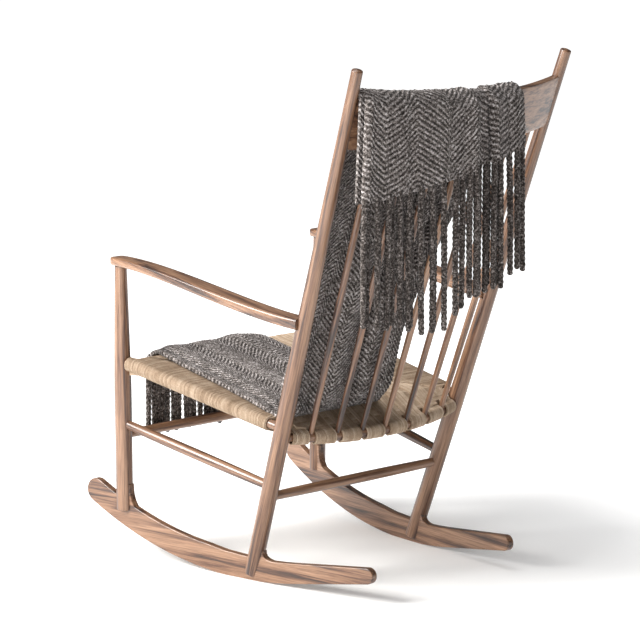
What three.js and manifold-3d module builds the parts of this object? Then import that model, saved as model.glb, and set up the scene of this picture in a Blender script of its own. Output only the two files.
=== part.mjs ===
// A spindle-back rocking chair with a woven cord seat and a fringed throw hung over its crest.
// Millimetres, +Z up. The sitter faces -Y and the frame is the same on both sides of x = 0.
import * as THREE from "three";
import { mergeVertices } from "three/addons/utils/BufferGeometryUtils.js";
import Module from "manifold-3d";

const wasm = await Module();
wasm.setup();

// ---------------------------------------------------------------- driving dimensions
const GAP = 0.3;                 // clearance between pieces that seat on each other
const SIDES = 16;                // facets round a turned piece
const BOW_STEPS = 12;            // facets along a bowed piece
const HOLE_DEPTH = 14;           // how far a round end enters the leg that holds it

// Rear posts: straight, raked back and splayed.
const POST_FOOT = { x: 231, y: 121.5, z: 12 };
const POST_TOP = { x: 293, y: 484, z: 1065 };
const POST_TOP_RADIUS = 11.2;
const POST_FULL_RADIUS = 17.4;
const POST_FULL_HEIGHT = 330;    // above this height the post tapers to its top
const POST_FOOT_RADIUS = 16.8;

// Front legs: nearly upright, thickest at the seat.
const LEG_FOOT = { x: 278, y: -218, z: 95 };
const LEG_TOP = { x: 283, y: -218, z: 608 };
const LEG_TOP_RADIUS = 12.4;
const LEG_FULL_RADIUS = 18.1;
const LEG_FULL_HEIGHT = 355;
const LEG_FOOT_RADIUS = 17.4;
const LEG_TENON_RADIUS = 7;
const LEG_TENON_LENGTH = 13;

// Rockers: boards on edge, passing through a slot in the foot of both legs.
const ROCKER_THICKNESS = 16;
const ROCKER_FRONT_INSET = 3;    // board's middle inside the front leg's axis
const ROCKER_REAR_OUTSET = 3;    // and outside the rear post's axis
const ROCKER_CONTACT_Y = 103;    // where the runner touches the floor
const ROCKER_RADIUS = 865;       // arc of the runner
const ROCKER_WEAR = 1.2;         // the arc's lowest part is flattened by this much
const ROCKER_REAR_KNEE = 135;    // straight tail beyond this
const ROCKER_FRONT_REACH = 413;  // contact point to the centre of the front nose
const ROCKER_REAR_REACH = 322;   // contact point to the centre of the tail
const ROCKER_NOSE_DEPTH = 50;
const ROCKER_MIDDLE_DEPTH = 53.5;
const ROCKER_TAIL_DEPTH = 32.5;
const ROCKER_STEP = 13;          // length of one facet of the runner
const LUG_FRONT_TOP = 151;       // height of the raised lug inside the front leg
const LUG_REAR_TOP = 65;
const LUG_FRONT_FILLET = 50;     // concave run from a lug down to the board's top edge
const LUG_REAR_FILLET = 30;

// Stretchers: round, swelling towards the middle. Heights are on the legs' axes.
const SIDE_STRETCHER = { front: 279, rear: 204, endRadius: 8.9, middleRadius: 10.9 };
const FRONT_STRETCHER = { height: 254, endRadius: 8.8, middleRadius: 10.6 };
const REAR_STRETCHER = { height: 181, endRadius: 8.8, middleRadius: 10.6 };

// Seat rails, also round. The side rails sit above the front and back rails.
const SIDE_RAIL = { front: 409.5, rear: 329, endRadius: 8.6, middleRadius: 10.8 };
const FRONT_RAIL = { height: 391, endRadius: 8.6, middleRadius: 10.8 };
const BACK_RAIL = { height: 311, endRadius: 8.4, middleRadius: 10.4, bow: 42 };

// Crest: a board bent across the back, let into the posts.
const CREST_BOTTOM = 910;        // heights where it meets the posts
const CREST_TOP = 1012;
const CREST_THICKNESS = 16;
const CREST_SETBACK = 2;         // its middle behind the posts' axes
const CREST_BOW = 47;
const CREST_TONGUE = { thickness: 9, shoulder: 9 };

// Spindles between the back rail and the crest.
const SPINDLE_COUNT = 7;
const SPINDLE_FOOT_PITCH = 62;
const SPINDLE_HEAD_PITCH = 72.5;
const SPINDLE_END_RADIUS = 5.3;
const SPINDLE_MIDDLE_RADIUS = 6.9;
const SPINDLE_HEAD_DEPTH = 16;
const SPINDLE_FOOT_DEPTH = 5;    // foot end below the rail's axis

// Armrests.
const ARM_FRONT_THICKNESS = 16.5;
const ARM_REAR_THICKNESS = 21.5;
const ARM_FRONT_WIDTH = 42;
const ARM_MIDDLE_WIDTH = 48;
const ARM_REAR_WIDTH = 42;
const ARM_REAR_HEIGHT = 540;     // underside at the rear post
const ARM_CROWN = 9;             // how far the arm's curve leaves a straight line
const ARM_BOW = 8;               // outward curve in plan
const ARM_DOWEL_RADIUS = 7;
const ARM_DOWEL_LENGTH = 24;

// Woven seat.
const WRAP_RADIUS = 14.2;        // cord wound round a rail
const SEAT_THICKNESS = 24;
const WRAP_FRONT_START = 21;     // leg axis to the first turn of cord on a side rail
const WRAP_REAR_STOP = 35;       // post axis to the last turn of cord
const NOTCH_WIDTH = 12;          // gap in the winding at each spindle

// Throw.
const THROW_THICKNESS = 8;
const FOLD_THICKNESS = 8;        // over the crest, where the cloth is pulled tight
const THROW_CLEAR = 1.2;         // cloth to wood
const THROW_POST_GAP = 10.232;    // left edge of the throw on the crest to the post beside it
const THROW_RIGHT = -140;
const PANEL_OVERHANG = 8;        // the part behind the post reaches this much further left
const HEM_LEFT = 808;            // height of the back hem at its two ends
const HEM_RIGHT = 893;
const FRINGE_LENGTH = 245;
const FRINGE_THICKNESS = 8;
const DROP_THICKNESS = 10;
const DROP_LEFT = 226;
const DROP_RIGHT_FOOT = -14;     // right edge of the front drop at the seat
const DROP_FOOT_HEIGHT = 384;
const RUN_THICKNESS = 10;
const RUN_LEFT_FRONT = 230;
const RUN_RIGHT_FRONT = -70;
const RUN_LEFT_REAR = 205;
const RUN_RIGHT_REAR = -40;
const RUN_REAR_Y = 172;
const FRONT_FRINGE = { left: 206, right: -62, tip: 238 };

// ---------------------------------------------------------------- materials
function finish(color, roughness, metalness = 0) {
  return new THREE.MeshStandardMaterial({ color, roughness, metalness });
}

const walnut = finish(0x8a5f46, 0.5);
const paperCord = finish(0xb9a78c, 0.85);
const wool = finish(0x6f665f, 0.95);

// ---------------------------------------------------------------- solids
function vec(x, y, z) {
  return new THREE.Vector3(x, y, z);
}

function toManifold(geometry) {
  const bare = geometry.index ? geometry.toNonIndexed() : geometry.clone();
  bare.deleteAttribute("normal");
  bare.deleteAttribute("uv");
  const merged = mergeVertices(bare, 1e-4);
  const mesh = new wasm.Mesh({
    numProp: 3,
    vertProperties: new Float32Array(merged.attributes.position.array),
    triVerts: new Uint32Array(merged.index.array),
  });
  return new wasm.Manifold(mesh);
}

function toGeometry(manifold) {
  const mesh = manifold.getMesh();
  const geometry = new THREE.BufferGeometry();
  geometry.setAttribute("position", new THREE.Float32BufferAttribute(mesh.vertProperties, 3));
  geometry.setIndex(new THREE.Uint32BufferAttribute(mesh.triVerts, 1));
  return geometry;
}

function along(from, to) {
  const direction = to.clone().sub(from).normalize();
  const turn = new THREE.Quaternion().setFromUnitVectors(vec(0, 1, 0), direction);
  return new THREE.Matrix4().compose(from, turn, vec(1, 1, 1));
}

// A turned solid from one point to another: stations are [distance, radius].
function turned(from, to, stations, sides = SIDES) {
  const last = stations[stations.length - 1];
  const profile = [new THREE.Vector2(0, stations[0][0])];
  stations.forEach(([distance, radius]) => profile.push(new THREE.Vector2(radius, distance)));
  profile.push(new THREE.Vector2(0, last[0]));
  const geometry = new THREE.LatheGeometry(profile, sides);
  geometry.applyMatrix4(along(from, to));
  return toManifold(geometry);
}

function box(size, centre, turn = new THREE.Quaternion()) {
  const geometry = new THREE.BoxGeometry(size.x, size.y, size.z);
  geometry.applyMatrix4(new THREE.Matrix4().compose(centre, turn, vec(1, 1, 1)));
  return toManifold(geometry);
}

// A flat outline given in (a, b), thickened along the third axis of the given frame.
function prism(points, depth, frame) {
  const outline = points.map(([a, b]) => new THREE.Vector2(a, b));
  const geometry = new THREE.ExtrudeGeometry(new THREE.Shape(outline), {
    depth,
    bevelEnabled: false,
  });
  geometry.applyMatrix4(frame);
  return toManifold(geometry);
}

function frameOf(xAxis, yAxis, zAxis, origin) {
  return new THREE.Matrix4().makeBasis(xAxis, yAxis, zAxis).setPosition(origin);
}

function subtractAll(body, cutters) {
  return cutters.reduce((rest, cutter) => rest.subtract(cutter), body);
}

// ---------------------------------------------------------------- legs and posts
function mirrored(point, side) {
  return vec(side * point.x, point.y, point.z);
}

function postAt(side, height) {
  const t = (height - POST_FOOT.z) / (POST_TOP.z - POST_FOOT.z);
  return mirrored(POST_FOOT, side).lerp(mirrored(POST_TOP, side), t);
}

function legAt(side, height) {
  const t = (height - LEG_FOOT.z) / (LEG_TOP.z - LEG_FOOT.z);
  return mirrored(LEG_FOOT, side).lerp(mirrored(LEG_TOP, side), t);
}

function postRadius(height) {
  if (height > POST_FULL_HEIGHT) {
    const t = (height - POST_FULL_HEIGHT) / (POST_TOP.z - POST_FULL_HEIGHT);
    return THREE.MathUtils.lerp(POST_FULL_RADIUS, POST_TOP_RADIUS, t);
  }
  const t = (POST_FULL_HEIGHT - height) / (POST_FULL_HEIGHT - POST_FOOT.z);
  return THREE.MathUtils.lerp(POST_FULL_RADIUS, POST_FOOT_RADIUS, t);
}

function legRadius(height) {
  if (height > LEG_FULL_HEIGHT) {
    const t = (height - LEG_FULL_HEIGHT) / (LEG_TOP.z - LEG_FULL_HEIGHT);
    return THREE.MathUtils.lerp(LEG_FULL_RADIUS, LEG_TOP_RADIUS, t ** 1.15);
  }
  const t = (LEG_FULL_HEIGHT - height) / (LEG_FULL_HEIGHT - LEG_FOOT.z);
  return THREE.MathUtils.lerp(LEG_FULL_RADIUS, LEG_FOOT_RADIUS, t);
}

function postBlank(side, grow = 0) {
  const foot = mirrored(POST_FOOT, side);
  const top = mirrored(POST_TOP, side);
  const length = foot.distanceTo(top);
  const full = length * (POST_FULL_HEIGHT - POST_FOOT.z) / (POST_TOP.z - POST_FOOT.z);
  return turned(foot, top, [
    [0, POST_FOOT_RADIUS - 1 + grow],
    [1.5, POST_FOOT_RADIUS + grow],
    [full * 0.6, THREE.MathUtils.lerp(POST_FOOT_RADIUS, POST_FULL_RADIUS, 0.75) + grow],
    [full, POST_FULL_RADIUS + grow],
    [(full + length) / 2, (POST_FULL_RADIUS + POST_TOP_RADIUS) / 2 + grow],
    [length - 4, POST_TOP_RADIUS + grow],
    [length - 1.2, POST_TOP_RADIUS - 1.2 + grow],
    [length, POST_TOP_RADIUS - 4 + grow],
  ]);
}

function legBlank(side, grow = 0) {
  const foot = mirrored(LEG_FOOT, side);
  const top = mirrored(LEG_TOP, side);
  const length = foot.distanceTo(top);
  const stations = [
    [0, LEG_FOOT_RADIUS - 1 + grow],
    [1.5, LEG_FOOT_RADIUS + grow],
  ];
  for (const share of [0.3, 0.5, 0.6, 0.7, 0.85]) {
    const height = THREE.MathUtils.lerp(LEG_FOOT.z, LEG_TOP.z, share);
    stations.push([length * share, legRadius(height) + grow]);
  }
  stations.push([length - GAP + grow, LEG_TOP_RADIUS + grow]);
  return turned(foot, top, stations);
}

function legTenon(side, grow = 0) {
  const top = legAt(side, LEG_TOP.z);
  const start = legAt(side, LEG_TOP.z - 20);
  const reach = start.distanceTo(top) + LEG_TENON_LENGTH + grow;
  return turned(start, top, [
    [0, LEG_TENON_RADIUS + grow],
    [reach - 1, LEG_TENON_RADIUS + grow],
    [reach, LEG_TENON_RADIUS - 1 + grow],
  ]);
}

// A round member whose ends enter the legs at two points on their axes.
function roundMember(from, to, fromRadius, toRadius, size, grow = 0) {
  const length = from.distanceTo(to);
  const start = fromRadius - HOLE_DEPTH - grow;
  const stop = length - (toRadius - HOLE_DEPTH) + grow;
  const middle = size.middleRadius + grow;
  const end = size.endRadius + grow;
  const shape = (share) => THREE.MathUtils.lerp(end, middle, Math.sin(Math.PI * share) ** 0.8);
  const stations = [[start, end]];
  for (const share of [0.08, 0.22, 0.5, 0.78, 0.92]) {
    stations.push([THREE.MathUtils.lerp(start, stop, share), shape(share)]);
  }
  stations.push([stop, end]);
  return turned(from, to, stations, 14);
}

function sideMember(side, size, grow = 0) {
  const from = legAt(side, size.front);
  const to = postAt(side, size.rear);
  return roundMember(from, to, legRadius(size.front), postRadius(size.rear), size, grow);
}

function frontMember(size, grow = 0) {
  const radius = legRadius(size.height);
  return roundMember(legAt(-1, size.height), legAt(1, size.height), radius, radius, size, grow);
}

function rearStretcher(grow = 0) {
  const height = REAR_STRETCHER.height;
  const radius = postRadius(height);
  return roundMember(postAt(-1, height), postAt(1, height), radius, radius, REAR_STRETCHER, grow);
}

// ---------------------------------------------------------------- bowed back rail
// It is bent square to the rake of the back, as the crest is.
const rakeUp = vec(0, POST_TOP.y - POST_FOOT.y, POST_TOP.z - POST_FOOT.z).normalize();
const rakeOut = vec(0, rakeUp.z, -rakeUp.y);

function backRailPoint(x) {
  const base = postAt(1, BACK_RAIL.height);
  const bulge = BACK_RAIL.bow * (1 - (x / base.x) ** 2);
  return vec(x, base.y, base.z).addScaledVector(rakeOut, bulge);
}

class BowCurve extends THREE.Curve {
  constructor(reach) {
    super();
    this.reach = reach;
  }

  getPoint(t, target = new THREE.Vector3()) {
    return target.copy(backRailPoint(THREE.MathUtils.lerp(-this.reach, this.reach, t)));
  }
}

function railDisc(radius, sides) {
  const points = [];
  for (let k = 0; k < sides; k += 1) {
    const angle = 2 * Math.PI * k / sides;
    points.push(new THREE.Vector2(radius * Math.cos(angle), radius * Math.sin(angle)));
  }
  return new THREE.Shape(points);
}

function bowedTube(reach, radius, steps, sides) {
  const curve = new BowCurve(reach);
  const geometry = new THREE.ExtrudeGeometry(railDisc(radius, sides), {
    steps,
    bevelEnabled: false,
    extrudePath: curve,
  });
  return toManifold(geometry);
}

function backRail(grow = 0) {
  const base = postAt(1, BACK_RAIL.height);
  const reach = base.x - postRadius(BACK_RAIL.height) + HOLE_DEPTH + grow;
  const slim = bowedTube(reach, BACK_RAIL.endRadius + grow, BOW_STEPS, 12);
  const stout = bowedTube(reach - 42, BACK_RAIL.middleRadius + grow, BOW_STEPS, 12);
  return slim.add(stout);
}

// ---------------------------------------------------------------- crest
// The back plane holds both posts: "up" runs along the rake, "out" is its rear normal.
const crestFoot = postAt(1, CREST_BOTTOM);
const crestHead = postAt(1, CREST_TOP);
const throwLeft = crestHead.x - postRadius(CREST_TOP) - THROW_POST_GAP;
const panelLeft = throwLeft + PANEL_OVERHANG;
const crestOrigin = vec(0, crestFoot.y, CREST_BOTTOM);
const crestFrame = frameOf(vec(1, 0, 0), rakeOut, rakeUp, crestOrigin);
const CREST_HEIGHT = (CREST_TOP - CREST_BOTTOM) / rakeUp.z;

function crestBulge(x) {
  return CREST_SETBACK + CREST_BOW * (1 - (x / crestFoot.x) ** 2);
}

// A band that follows the crest's bend, from one offset to another behind its middle.
function bentBand(left, right, inner, outer, low, high, steps = 20) {
  const points = [];
  for (let k = 0; k <= steps; k += 1) {
    const x = THREE.MathUtils.lerp(left, right, k / steps);
    points.push([x, crestBulge(x) + inner]);
  }
  for (let k = steps; k >= 0; k -= 1) {
    const x = THREE.MathUtils.lerp(left, right, k / steps);
    points.push([x, crestBulge(x) + outer]);
  }
  const lift = new THREE.Matrix4().makeTranslation(0, 0, low);
  return prism(points, high - low, crestFrame.clone().multiply(lift));
}

// Everything between the two posts' axes, drawn in the back plane.
function betweenPosts(shrink) {
  const low = -60;
  const high = CREST_HEIGHT + 60;
  const slope = (crestHead.x - crestFoot.x) / CREST_HEIGHT;
  const half = (up) => crestFoot.x + slope * up - shrink;
  const points = [
    [-half(low), low],
    [half(low), low],
    [half(high), high],
    [-half(high), high],
  ];
  const back = rakeOut.clone().negate();
  const origin = crestOrigin.clone().addScaledVector(rakeOut, 120);
  return prism(points, 240, frameOf(vec(1, 0, 0), rakeUp, back, origin));
}

function crestTongue(grow = 0) {
  const half = CREST_TONGUE.thickness / 2 + grow;
  const low = CREST_TONGUE.shoulder - grow;
  const high = CREST_HEIGHT - CREST_TONGUE.shoulder + grow;
  const reach = crestHead.x + 20;
  return bentBand(-reach, reach, -half, half, low, high, BOW_STEPS).intersect(betweenPosts(1 - grow));
}

function crestBoard(grow = 0) {
  const half = CREST_THICKNESS / 2 + grow;
  const reach = crestHead.x + 20;
  return bentBand(-reach, reach, -half, half, -grow, CREST_HEIGHT + grow, BOW_STEPS)
    .intersect(betweenPosts(2));
}

function spindleEnds(index) {
  const place = index - (SPINDLE_COUNT + 1) / 2;
  const foot = backRailPoint(-place * SPINDLE_FOOT_PITCH);
  const headX = -place * SPINDLE_HEAD_PITCH;
  const head = crestOrigin.clone()
    .add(vec(headX, 0, 0))
    .addScaledVector(rakeOut, crestBulge(headX));
  return { foot, head };
}

function spindle(index, grow = 0) {
  const { foot, head } = spindleEnds(index);
  const length = foot.distanceTo(head);
  const start = -SPINDLE_FOOT_DEPTH - grow;
  const stop = length + SPINDLE_HEAD_DEPTH + grow;
  const end = SPINDLE_END_RADIUS + grow;
  const stations = [[start, end]];
  for (const share of [0.1, 0.35, 0.65, 0.9]) {
    const swell = Math.sin(Math.PI * share) ** 0.8;
    const radius = THREE.MathUtils.lerp(end, SPINDLE_MIDDLE_RADIUS + grow, swell);
    stations.push([THREE.MathUtils.lerp(start, stop, share), radius]);
  }
  stations.push([stop, end]);
  return turned(foot, head, stations, 10);
}

function spindleIndices() {
  return Array.from({ length: SPINDLE_COUNT }, (_, k) => k + 1);
}

function crestRail() {
  const posts = [postBlank(-1, GAP), postBlank(1, GAP)];
  const board = subtractAll(crestBoard(), posts).add(crestTongue());
  return subtractAll(board, spindleIndices().map((index) => spindle(index, GAP)));
}

function boredBackRail() {
  return subtractAll(backRail(), spindleIndices().map((index) => spindle(index, GAP)));
}

// ---------------------------------------------------------------- rockers
// Each rocker stands in one upright plane that passes close to the axes of its two legs' feet.
const rockerFront = vec(LEG_FOOT.x - ROCKER_FRONT_INSET, LEG_FOOT.y, 0);
const rockerRear = vec(POST_FOOT.x + ROCKER_REAR_OUTSET, POST_FOOT.y, 0);
const rockerRun = rockerRear.clone().sub(rockerFront).normalize();
const rockerX = rockerFront.x + (ROCKER_CONTACT_Y - LEG_FOOT.y) * rockerRun.x / rockerRun.y;

function rockerFrame(side) {
  const run = vec(side * rockerRun.x, rockerRun.y, 0);
  const up = vec(0, 0, 1);
  const across = run.clone().cross(up);
  const origin = vec(side * rockerX, ROCKER_CONTACT_Y, 0);
  return frameOf(run, up, across, origin.addScaledVector(across, -ROCKER_THICKNESS / 2));
}

// Height and slope angle of the runner at a distance u behind the contact point.
function runner(u) {
  if (u > ROCKER_REAR_KNEE) {
    const slope = Math.asin(ROCKER_REAR_KNEE / ROCKER_RADIUS);
    const start = ROCKER_RADIUS * (1 - Math.cos(slope)) - ROCKER_WEAR;
    return { height: start + (u - ROCKER_REAR_KNEE) * Math.tan(slope), angle: slope };
  }
  const angle = Math.asin(u / ROCKER_RADIUS);
  const height = Math.max(0, ROCKER_RADIUS * (1 - Math.cos(angle)) - ROCKER_WEAR);
  return { height, angle: height > 0 ? angle : 0 };
}

function rockerDepth(u) {
  const knee = -100;
  if (u < knee) {
    const t = (knee - u) / (ROCKER_FRONT_REACH + knee);
    return THREE.MathUtils.lerp(ROCKER_MIDDLE_DEPTH, ROCKER_NOSE_DEPTH, t);
  }
  const t = (u - knee) / (ROCKER_REAR_REACH - knee);
  return THREE.MathUtils.lerp(ROCKER_MIDDLE_DEPTH, ROCKER_TAIL_DEPTH, t);
}

// A point of the board at u, a share of its depth above the runner.
function boardPoint(u, share) {
  const { height, angle } = runner(u);
  const offset = rockerDepth(u) * share;
  return [u - Math.sin(angle) * offset, height + Math.cos(angle) * offset];
}

function runnerStations() {
  const count = Math.round((ROCKER_FRONT_REACH + ROCKER_REAR_REACH) / ROCKER_STEP);
  const stations = [];
  const first = -Math.round(ROCKER_FRONT_REACH / ROCKER_STEP) - 0.5;
  for (let k = 0; k <= count; k += 1) {
    const u = (first + k) * ROCKER_STEP;
    const inside = u > -ROCKER_FRONT_REACH && u < ROCKER_REAR_REACH;
    if (inside) {
      stations.push(u);
    }
  }
  return stations;
}

function roundEnd(u, from, to) {
  const middle = boardPoint(u, 0.5);
  const radius = rockerDepth(u) / 2;
  const tilt = runner(u).angle;
  const points = [];
  for (let k = 0; k <= 10; k += 1) {
    const angle = tilt + THREE.MathUtils.lerp(from, to, k / 10);
    points.push([middle[0] + radius * Math.cos(angle), middle[1] + radius * Math.sin(angle)]);
  }
  return points;
}

function rockerOutline() {
  const under = runnerStations().map((u) => boardPoint(u, 0));
  const over = runnerStations().filter((_, k) => k % 2 === 0).map((u) => boardPoint(u, 1));
  const tail = roundEnd(ROCKER_REAR_REACH, -Math.PI / 2, Math.PI / 2);
  const nose = roundEnd(-ROCKER_FRONT_REACH, Math.PI / 2, 3 * Math.PI / 2);
  return [...under, ...tail, ...over.reverse(), ...nose];
}

// Where a leg's axis crosses the rocker's plane at one height, as u.
function crossing(point) {
  return (point.y - ROCKER_CONTACT_Y) / rockerRun.y;
}

function topEdge(u) {
  const high = boardPoint(u, 1);
  return { u: high[0], z: high[1] };
}

function lug(axisAt, radiusAt, topHeight, fillet) {
  const base = topHeight - 45;
  const front = (z) => crossing(axisAt(1, z)) - radiusAt(z) * 0.96;
  const rear = (z) => crossing(axisAt(1, z)) + radiusAt(z) * 0.96;
  const points = [[front(base), base], [rear(base), base]];
  const shoulder = rear(topHeight);
  let reach = shoulder + fillet;
  let foot = topEdge(reach);
  for (let k = 0; k < 4; k += 1) {
    reach += shoulder + fillet - foot.u;
    foot = topEdge(reach);
  }
  points.push([foot.u, foot.z - 12]);
  for (let k = 0; k <= 6; k += 1) {
    const t = k / 6;
    const u = THREE.MathUtils.lerp(foot.u, shoulder, 1 - (1 - t) ** 2);
    const z = THREE.MathUtils.lerp(foot.z - 0.5, topHeight - 3, t * t);
    points.push([u, z]);
  }
  points.push([shoulder, topHeight]);
  points.push([front(topHeight), topHeight]);
  return points;
}

function rocker(side) {
  const frame = rockerFrame(side);
  const board = prism(rockerOutline(), ROCKER_THICKNESS, frame);
  const frontLug = prism(lug(legAt, legRadius, LUG_FRONT_TOP, LUG_FRONT_FILLET), ROCKER_THICKNESS, frame);
  const rearLug = prism(lug(postAt, postRadius, LUG_REAR_TOP, LUG_REAR_FILLET), ROCKER_THICKNESS, frame);
  return board.add(frontLug).add(rearLug);
}

function footSlot(side, top) {
  const size = vec(ROCKER_THICKNESS + 2 * GAP, 1400, top + GAP + 200);
  const turn = new THREE.Quaternion().setFromRotationMatrix(
    frameOf(
      vec(side * rockerRun.y, -rockerRun.x, 0),
      vec(side * rockerRun.x, rockerRun.y, 0),
      vec(0, 0, side),
      vec(0, 0, 0),
    ),
  );
  return box(size, vec(side * rockerX, ROCKER_CONTACT_Y, top + GAP - size.z / 2), turn);
}

// ---------------------------------------------------------------- armrests
function armEnds(side) {
  const front = legAt(side, LEG_TOP.z);
  const rear = postAt(side, ARM_REAR_HEIGHT + ARM_REAR_THICKNESS / 2);
  return { front, rear };
}

// Side elevation of the arm: a gentle S between the leg's top and the rear post.
function armSide(side) {
  const { front, rear } = armEnds(side);
  const start = vec(0, front.y - ARM_FRONT_WIDTH, LEG_TOP.z + 1.6);
  const stop = vec(0, rear.y + 10, ARM_REAR_HEIGHT);
  const reach = stop.y - start.y;
  const drop = start.z - stop.z;
  const curve = new THREE.CubicBezierCurve3(
    start,
    vec(0, start.y + reach * 0.3, start.z - drop * 0.22 + ARM_CROWN),
    vec(0, stop.y - reach * 0.3, stop.z + drop * 0.2 - ARM_CROWN),
    stop,
  );
  const spine = curve.getPoints(16);
  const under = spine.map((p) => [p.y, p.z]);
  const depth = (k) => THREE.MathUtils.lerp(ARM_FRONT_THICKNESS, ARM_REAR_THICKNESS, k / 16);
  const over = spine.map((p, k) => [p.y, p.z + depth(k)]).reverse();
  const origin = vec(front.x - 90, 0, 0);
  const outline = [...under, ...over];
  return prism(outline, 180, frameOf(vec(0, 1, 0), vec(0, 0, 1), vec(1, 0, 0), origin));
}

// Plan outline: full-round nose over the leg, widest past the middle, eased rear corners.
function armPlan(side) {
  const { front, rear } = armEnds(side);
  const inward = Math.abs(front.x) - Math.abs(rear.x);
  const length = rear.y - front.y;
  const middle = (t) => Math.abs(front.x) - inward * t + ARM_BOW * Math.sin(Math.PI * t);
  const half = (t) => {
    const swell = t < 0.6
      ? THREE.MathUtils.lerp(ARM_FRONT_WIDTH, ARM_MIDDLE_WIDTH, Math.sin(t / 0.6 * Math.PI / 2))
      : THREE.MathUtils.lerp(ARM_MIDDLE_WIDTH, ARM_REAR_WIDTH, (t - 0.6) / 0.4);
    return swell / 2;
  };
  const outer = [];
  const inner = [];
  const stop = 1 - (postRadius(rear.z) + 3) / length;
  for (let k = 0; k <= 16; k += 1) {
    const t = stop * k / 16;
    outer.push([side * (middle(t) + half(t)), front.y + length * t]);
    inner.push([side * (middle(t) - half(t)), front.y + length * t]);
  }
  const tip = postRadius(rear.z) * 0.8;
  outer.push([side * (middle(1) + tip), rear.y - postRadius(rear.z) * 0.55]);
  inner.push([side * (middle(1) - tip), rear.y - postRadius(rear.z) * 0.55]);
  const nose = [];
  for (let k = 1; k < 12; k += 1) {
    const angle = Math.PI * k / 12;
    const radius = ARM_FRONT_WIDTH / 2;
    nose.push([
      side * (middle(0) - radius * Math.cos(angle)),
      front.y - radius * Math.sin(angle),
    ]);
  }
  return [...outer.reverse(), ...nose.reverse(), ...inner];
}

function armDowel(side, grow = 0) {
  const { rear } = armEnds(side);
  const from = rear.clone().add(vec(0, -ARM_DOWEL_LENGTH - grow, 0));
  const to = rear.clone().add(vec(0, grow, 0));
  const reach = from.distanceTo(to);
  return turned(from, to, [[0, ARM_DOWEL_RADIUS + grow], [reach, ARM_DOWEL_RADIUS + grow]], 16);
}

function armrest(side) {
  const plan = prism(armPlan(side), 700, frameOf(
    vec(1, 0, 0), vec(0, 1, 0), vec(0, 0, 1), vec(0, 0, 200),
  ));
  const body = armSide(side).intersect(plan);
  const seats = [postBlank(side, GAP), legBlank(side, GAP), legTenon(side, GAP)];
  return subtractAll(body, seats).add(armDowel(side));
}

function rearPost(side) {
  return subtractAll(postBlank(side), [
    footSlot(side, LUG_REAR_TOP),
    sideMember(side, SIDE_STRETCHER, GAP),
    sideMember(side, SIDE_RAIL, GAP),
    rearStretcher(GAP),
    backRail(GAP),
    armDowel(side, GAP),
    crestTongue(GAP),
  ]);
}

function frontLeg(side) {
  return subtractAll(legBlank(side).add(legTenon(side)), [
    footSlot(side, LUG_FRONT_TOP),
    sideMember(side, SIDE_STRETCHER, GAP),
    sideMember(side, SIDE_RAIL, GAP),
    frontMember(FRONT_STRETCHER, GAP),
    frontMember(FRONT_RAIL, GAP),
  ]);
}

// ---------------------------------------------------------------- woven seat
// The seat plane holds the axes of both side rails.
const seatFront = legAt(1, SIDE_RAIL.front);
const seatRear = postAt(1, SIDE_RAIL.rear);
const seatRun = vec(0, seatRear.y - seatFront.y, seatRear.z - seatFront.z).normalize();
const seatUp = vec(0, -seatRun.z, seatRun.y);

function seatTop(y) {
  return seatFront.z + (y - seatFront.y) * seatRun.z / seatRun.y + WRAP_RADIUS / seatUp.z;
}

// Cross-section in (y, z): high on the side rails' plane, eased down to the end rails.
function seatSection() {
  const front = legAt(1, FRONT_RAIL.height);
  const back = backRailPoint(0);
  const wrap = WRAP_RADIUS - 0.5;
  const top = (y) => [y, seatTop(y)];
  const under = (y) => [y, seatTop(y) - SEAT_THICKNESS];
  return [
    [front.y, front.z - wrap],
    under(front.y + 70),
    under(back.y - 100),
    [back.y, back.z - wrap],
    [back.y, back.z + wrap],
    top(back.y - 62),
    top(front.y + 40),
    [front.y, front.z + wrap],
  ];
}

function seatPlan() {
  const points = [[-seatFront.x, seatFront.y], [seatFront.x, seatFront.y]];
  const reach = seatRear.x - 2;
  for (let k = 0; k <= 16; k += 1) {
    const rail = backRailPoint(THREE.MathUtils.lerp(reach, -reach, k / 16));
    points.push([rail.x, rail.y]);
  }
  return points;
}

function seatSlab() {
  const frame = frameOf(vec(0, 1, 0), vec(0, 0, 1), vec(1, 0, 0), vec(-320, 0, 0));
  const section = prism(seatSection(), 640, frame);
  const upright = frameOf(vec(1, 0, 0), vec(0, 1, 0), vec(0, 0, 1), vec(0, 0, 200));
  return section.intersect(prism(seatPlan(), 400, upright));
}

function wrapTube(from, to, start, stop) {
  return turned(from, to, [
    [start, WRAP_RADIUS - 2],
    [start + 3, WRAP_RADIUS],
    [stop - 2, WRAP_RADIUS],
    [stop, WRAP_RADIUS - 1],
  ], 14);
}

function sideWrap(side) {
  const from = legAt(side, SIDE_RAIL.front);
  const to = postAt(side, SIDE_RAIL.rear);
  return wrapTube(from, to, WRAP_FRONT_START, from.distanceTo(to) - WRAP_REAR_STOP);
}

function frontWrap() {
  const from = legAt(-1, FRONT_RAIL.height);
  const to = legAt(1, FRONT_RAIL.height);
  return wrapTube(from, to, WRAP_FRONT_START, from.distanceTo(to) - WRAP_FRONT_START);
}

function postClearing(side) {
  const height = SIDE_RAIL.rear;
  const from = postAt(side, height - 90);
  const to = postAt(side, height + 90);
  const length = from.distanceTo(to);
  const radius = WRAP_REAR_STOP - 1;
  return turned(from, to, [[0, radius], [length, radius]]);
}

// The winding opens at each spindle's foot and shows the bare rail behind it.
function spindleNotch(index) {
  const { foot } = spindleEnds(index);
  const slope = -2 * BACK_RAIL.bow * foot.x / seatRear.x ** 2;
  const turn = new THREE.Quaternion().setFromAxisAngle(vec(0, 0, 1), Math.atan(slope));
  const centre = foot.clone().add(vec(0, 18, 0).applyQuaternion(turn));
  return box(vec(NOTCH_WIDTH, 50, 60), centre, turn);
}

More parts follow.
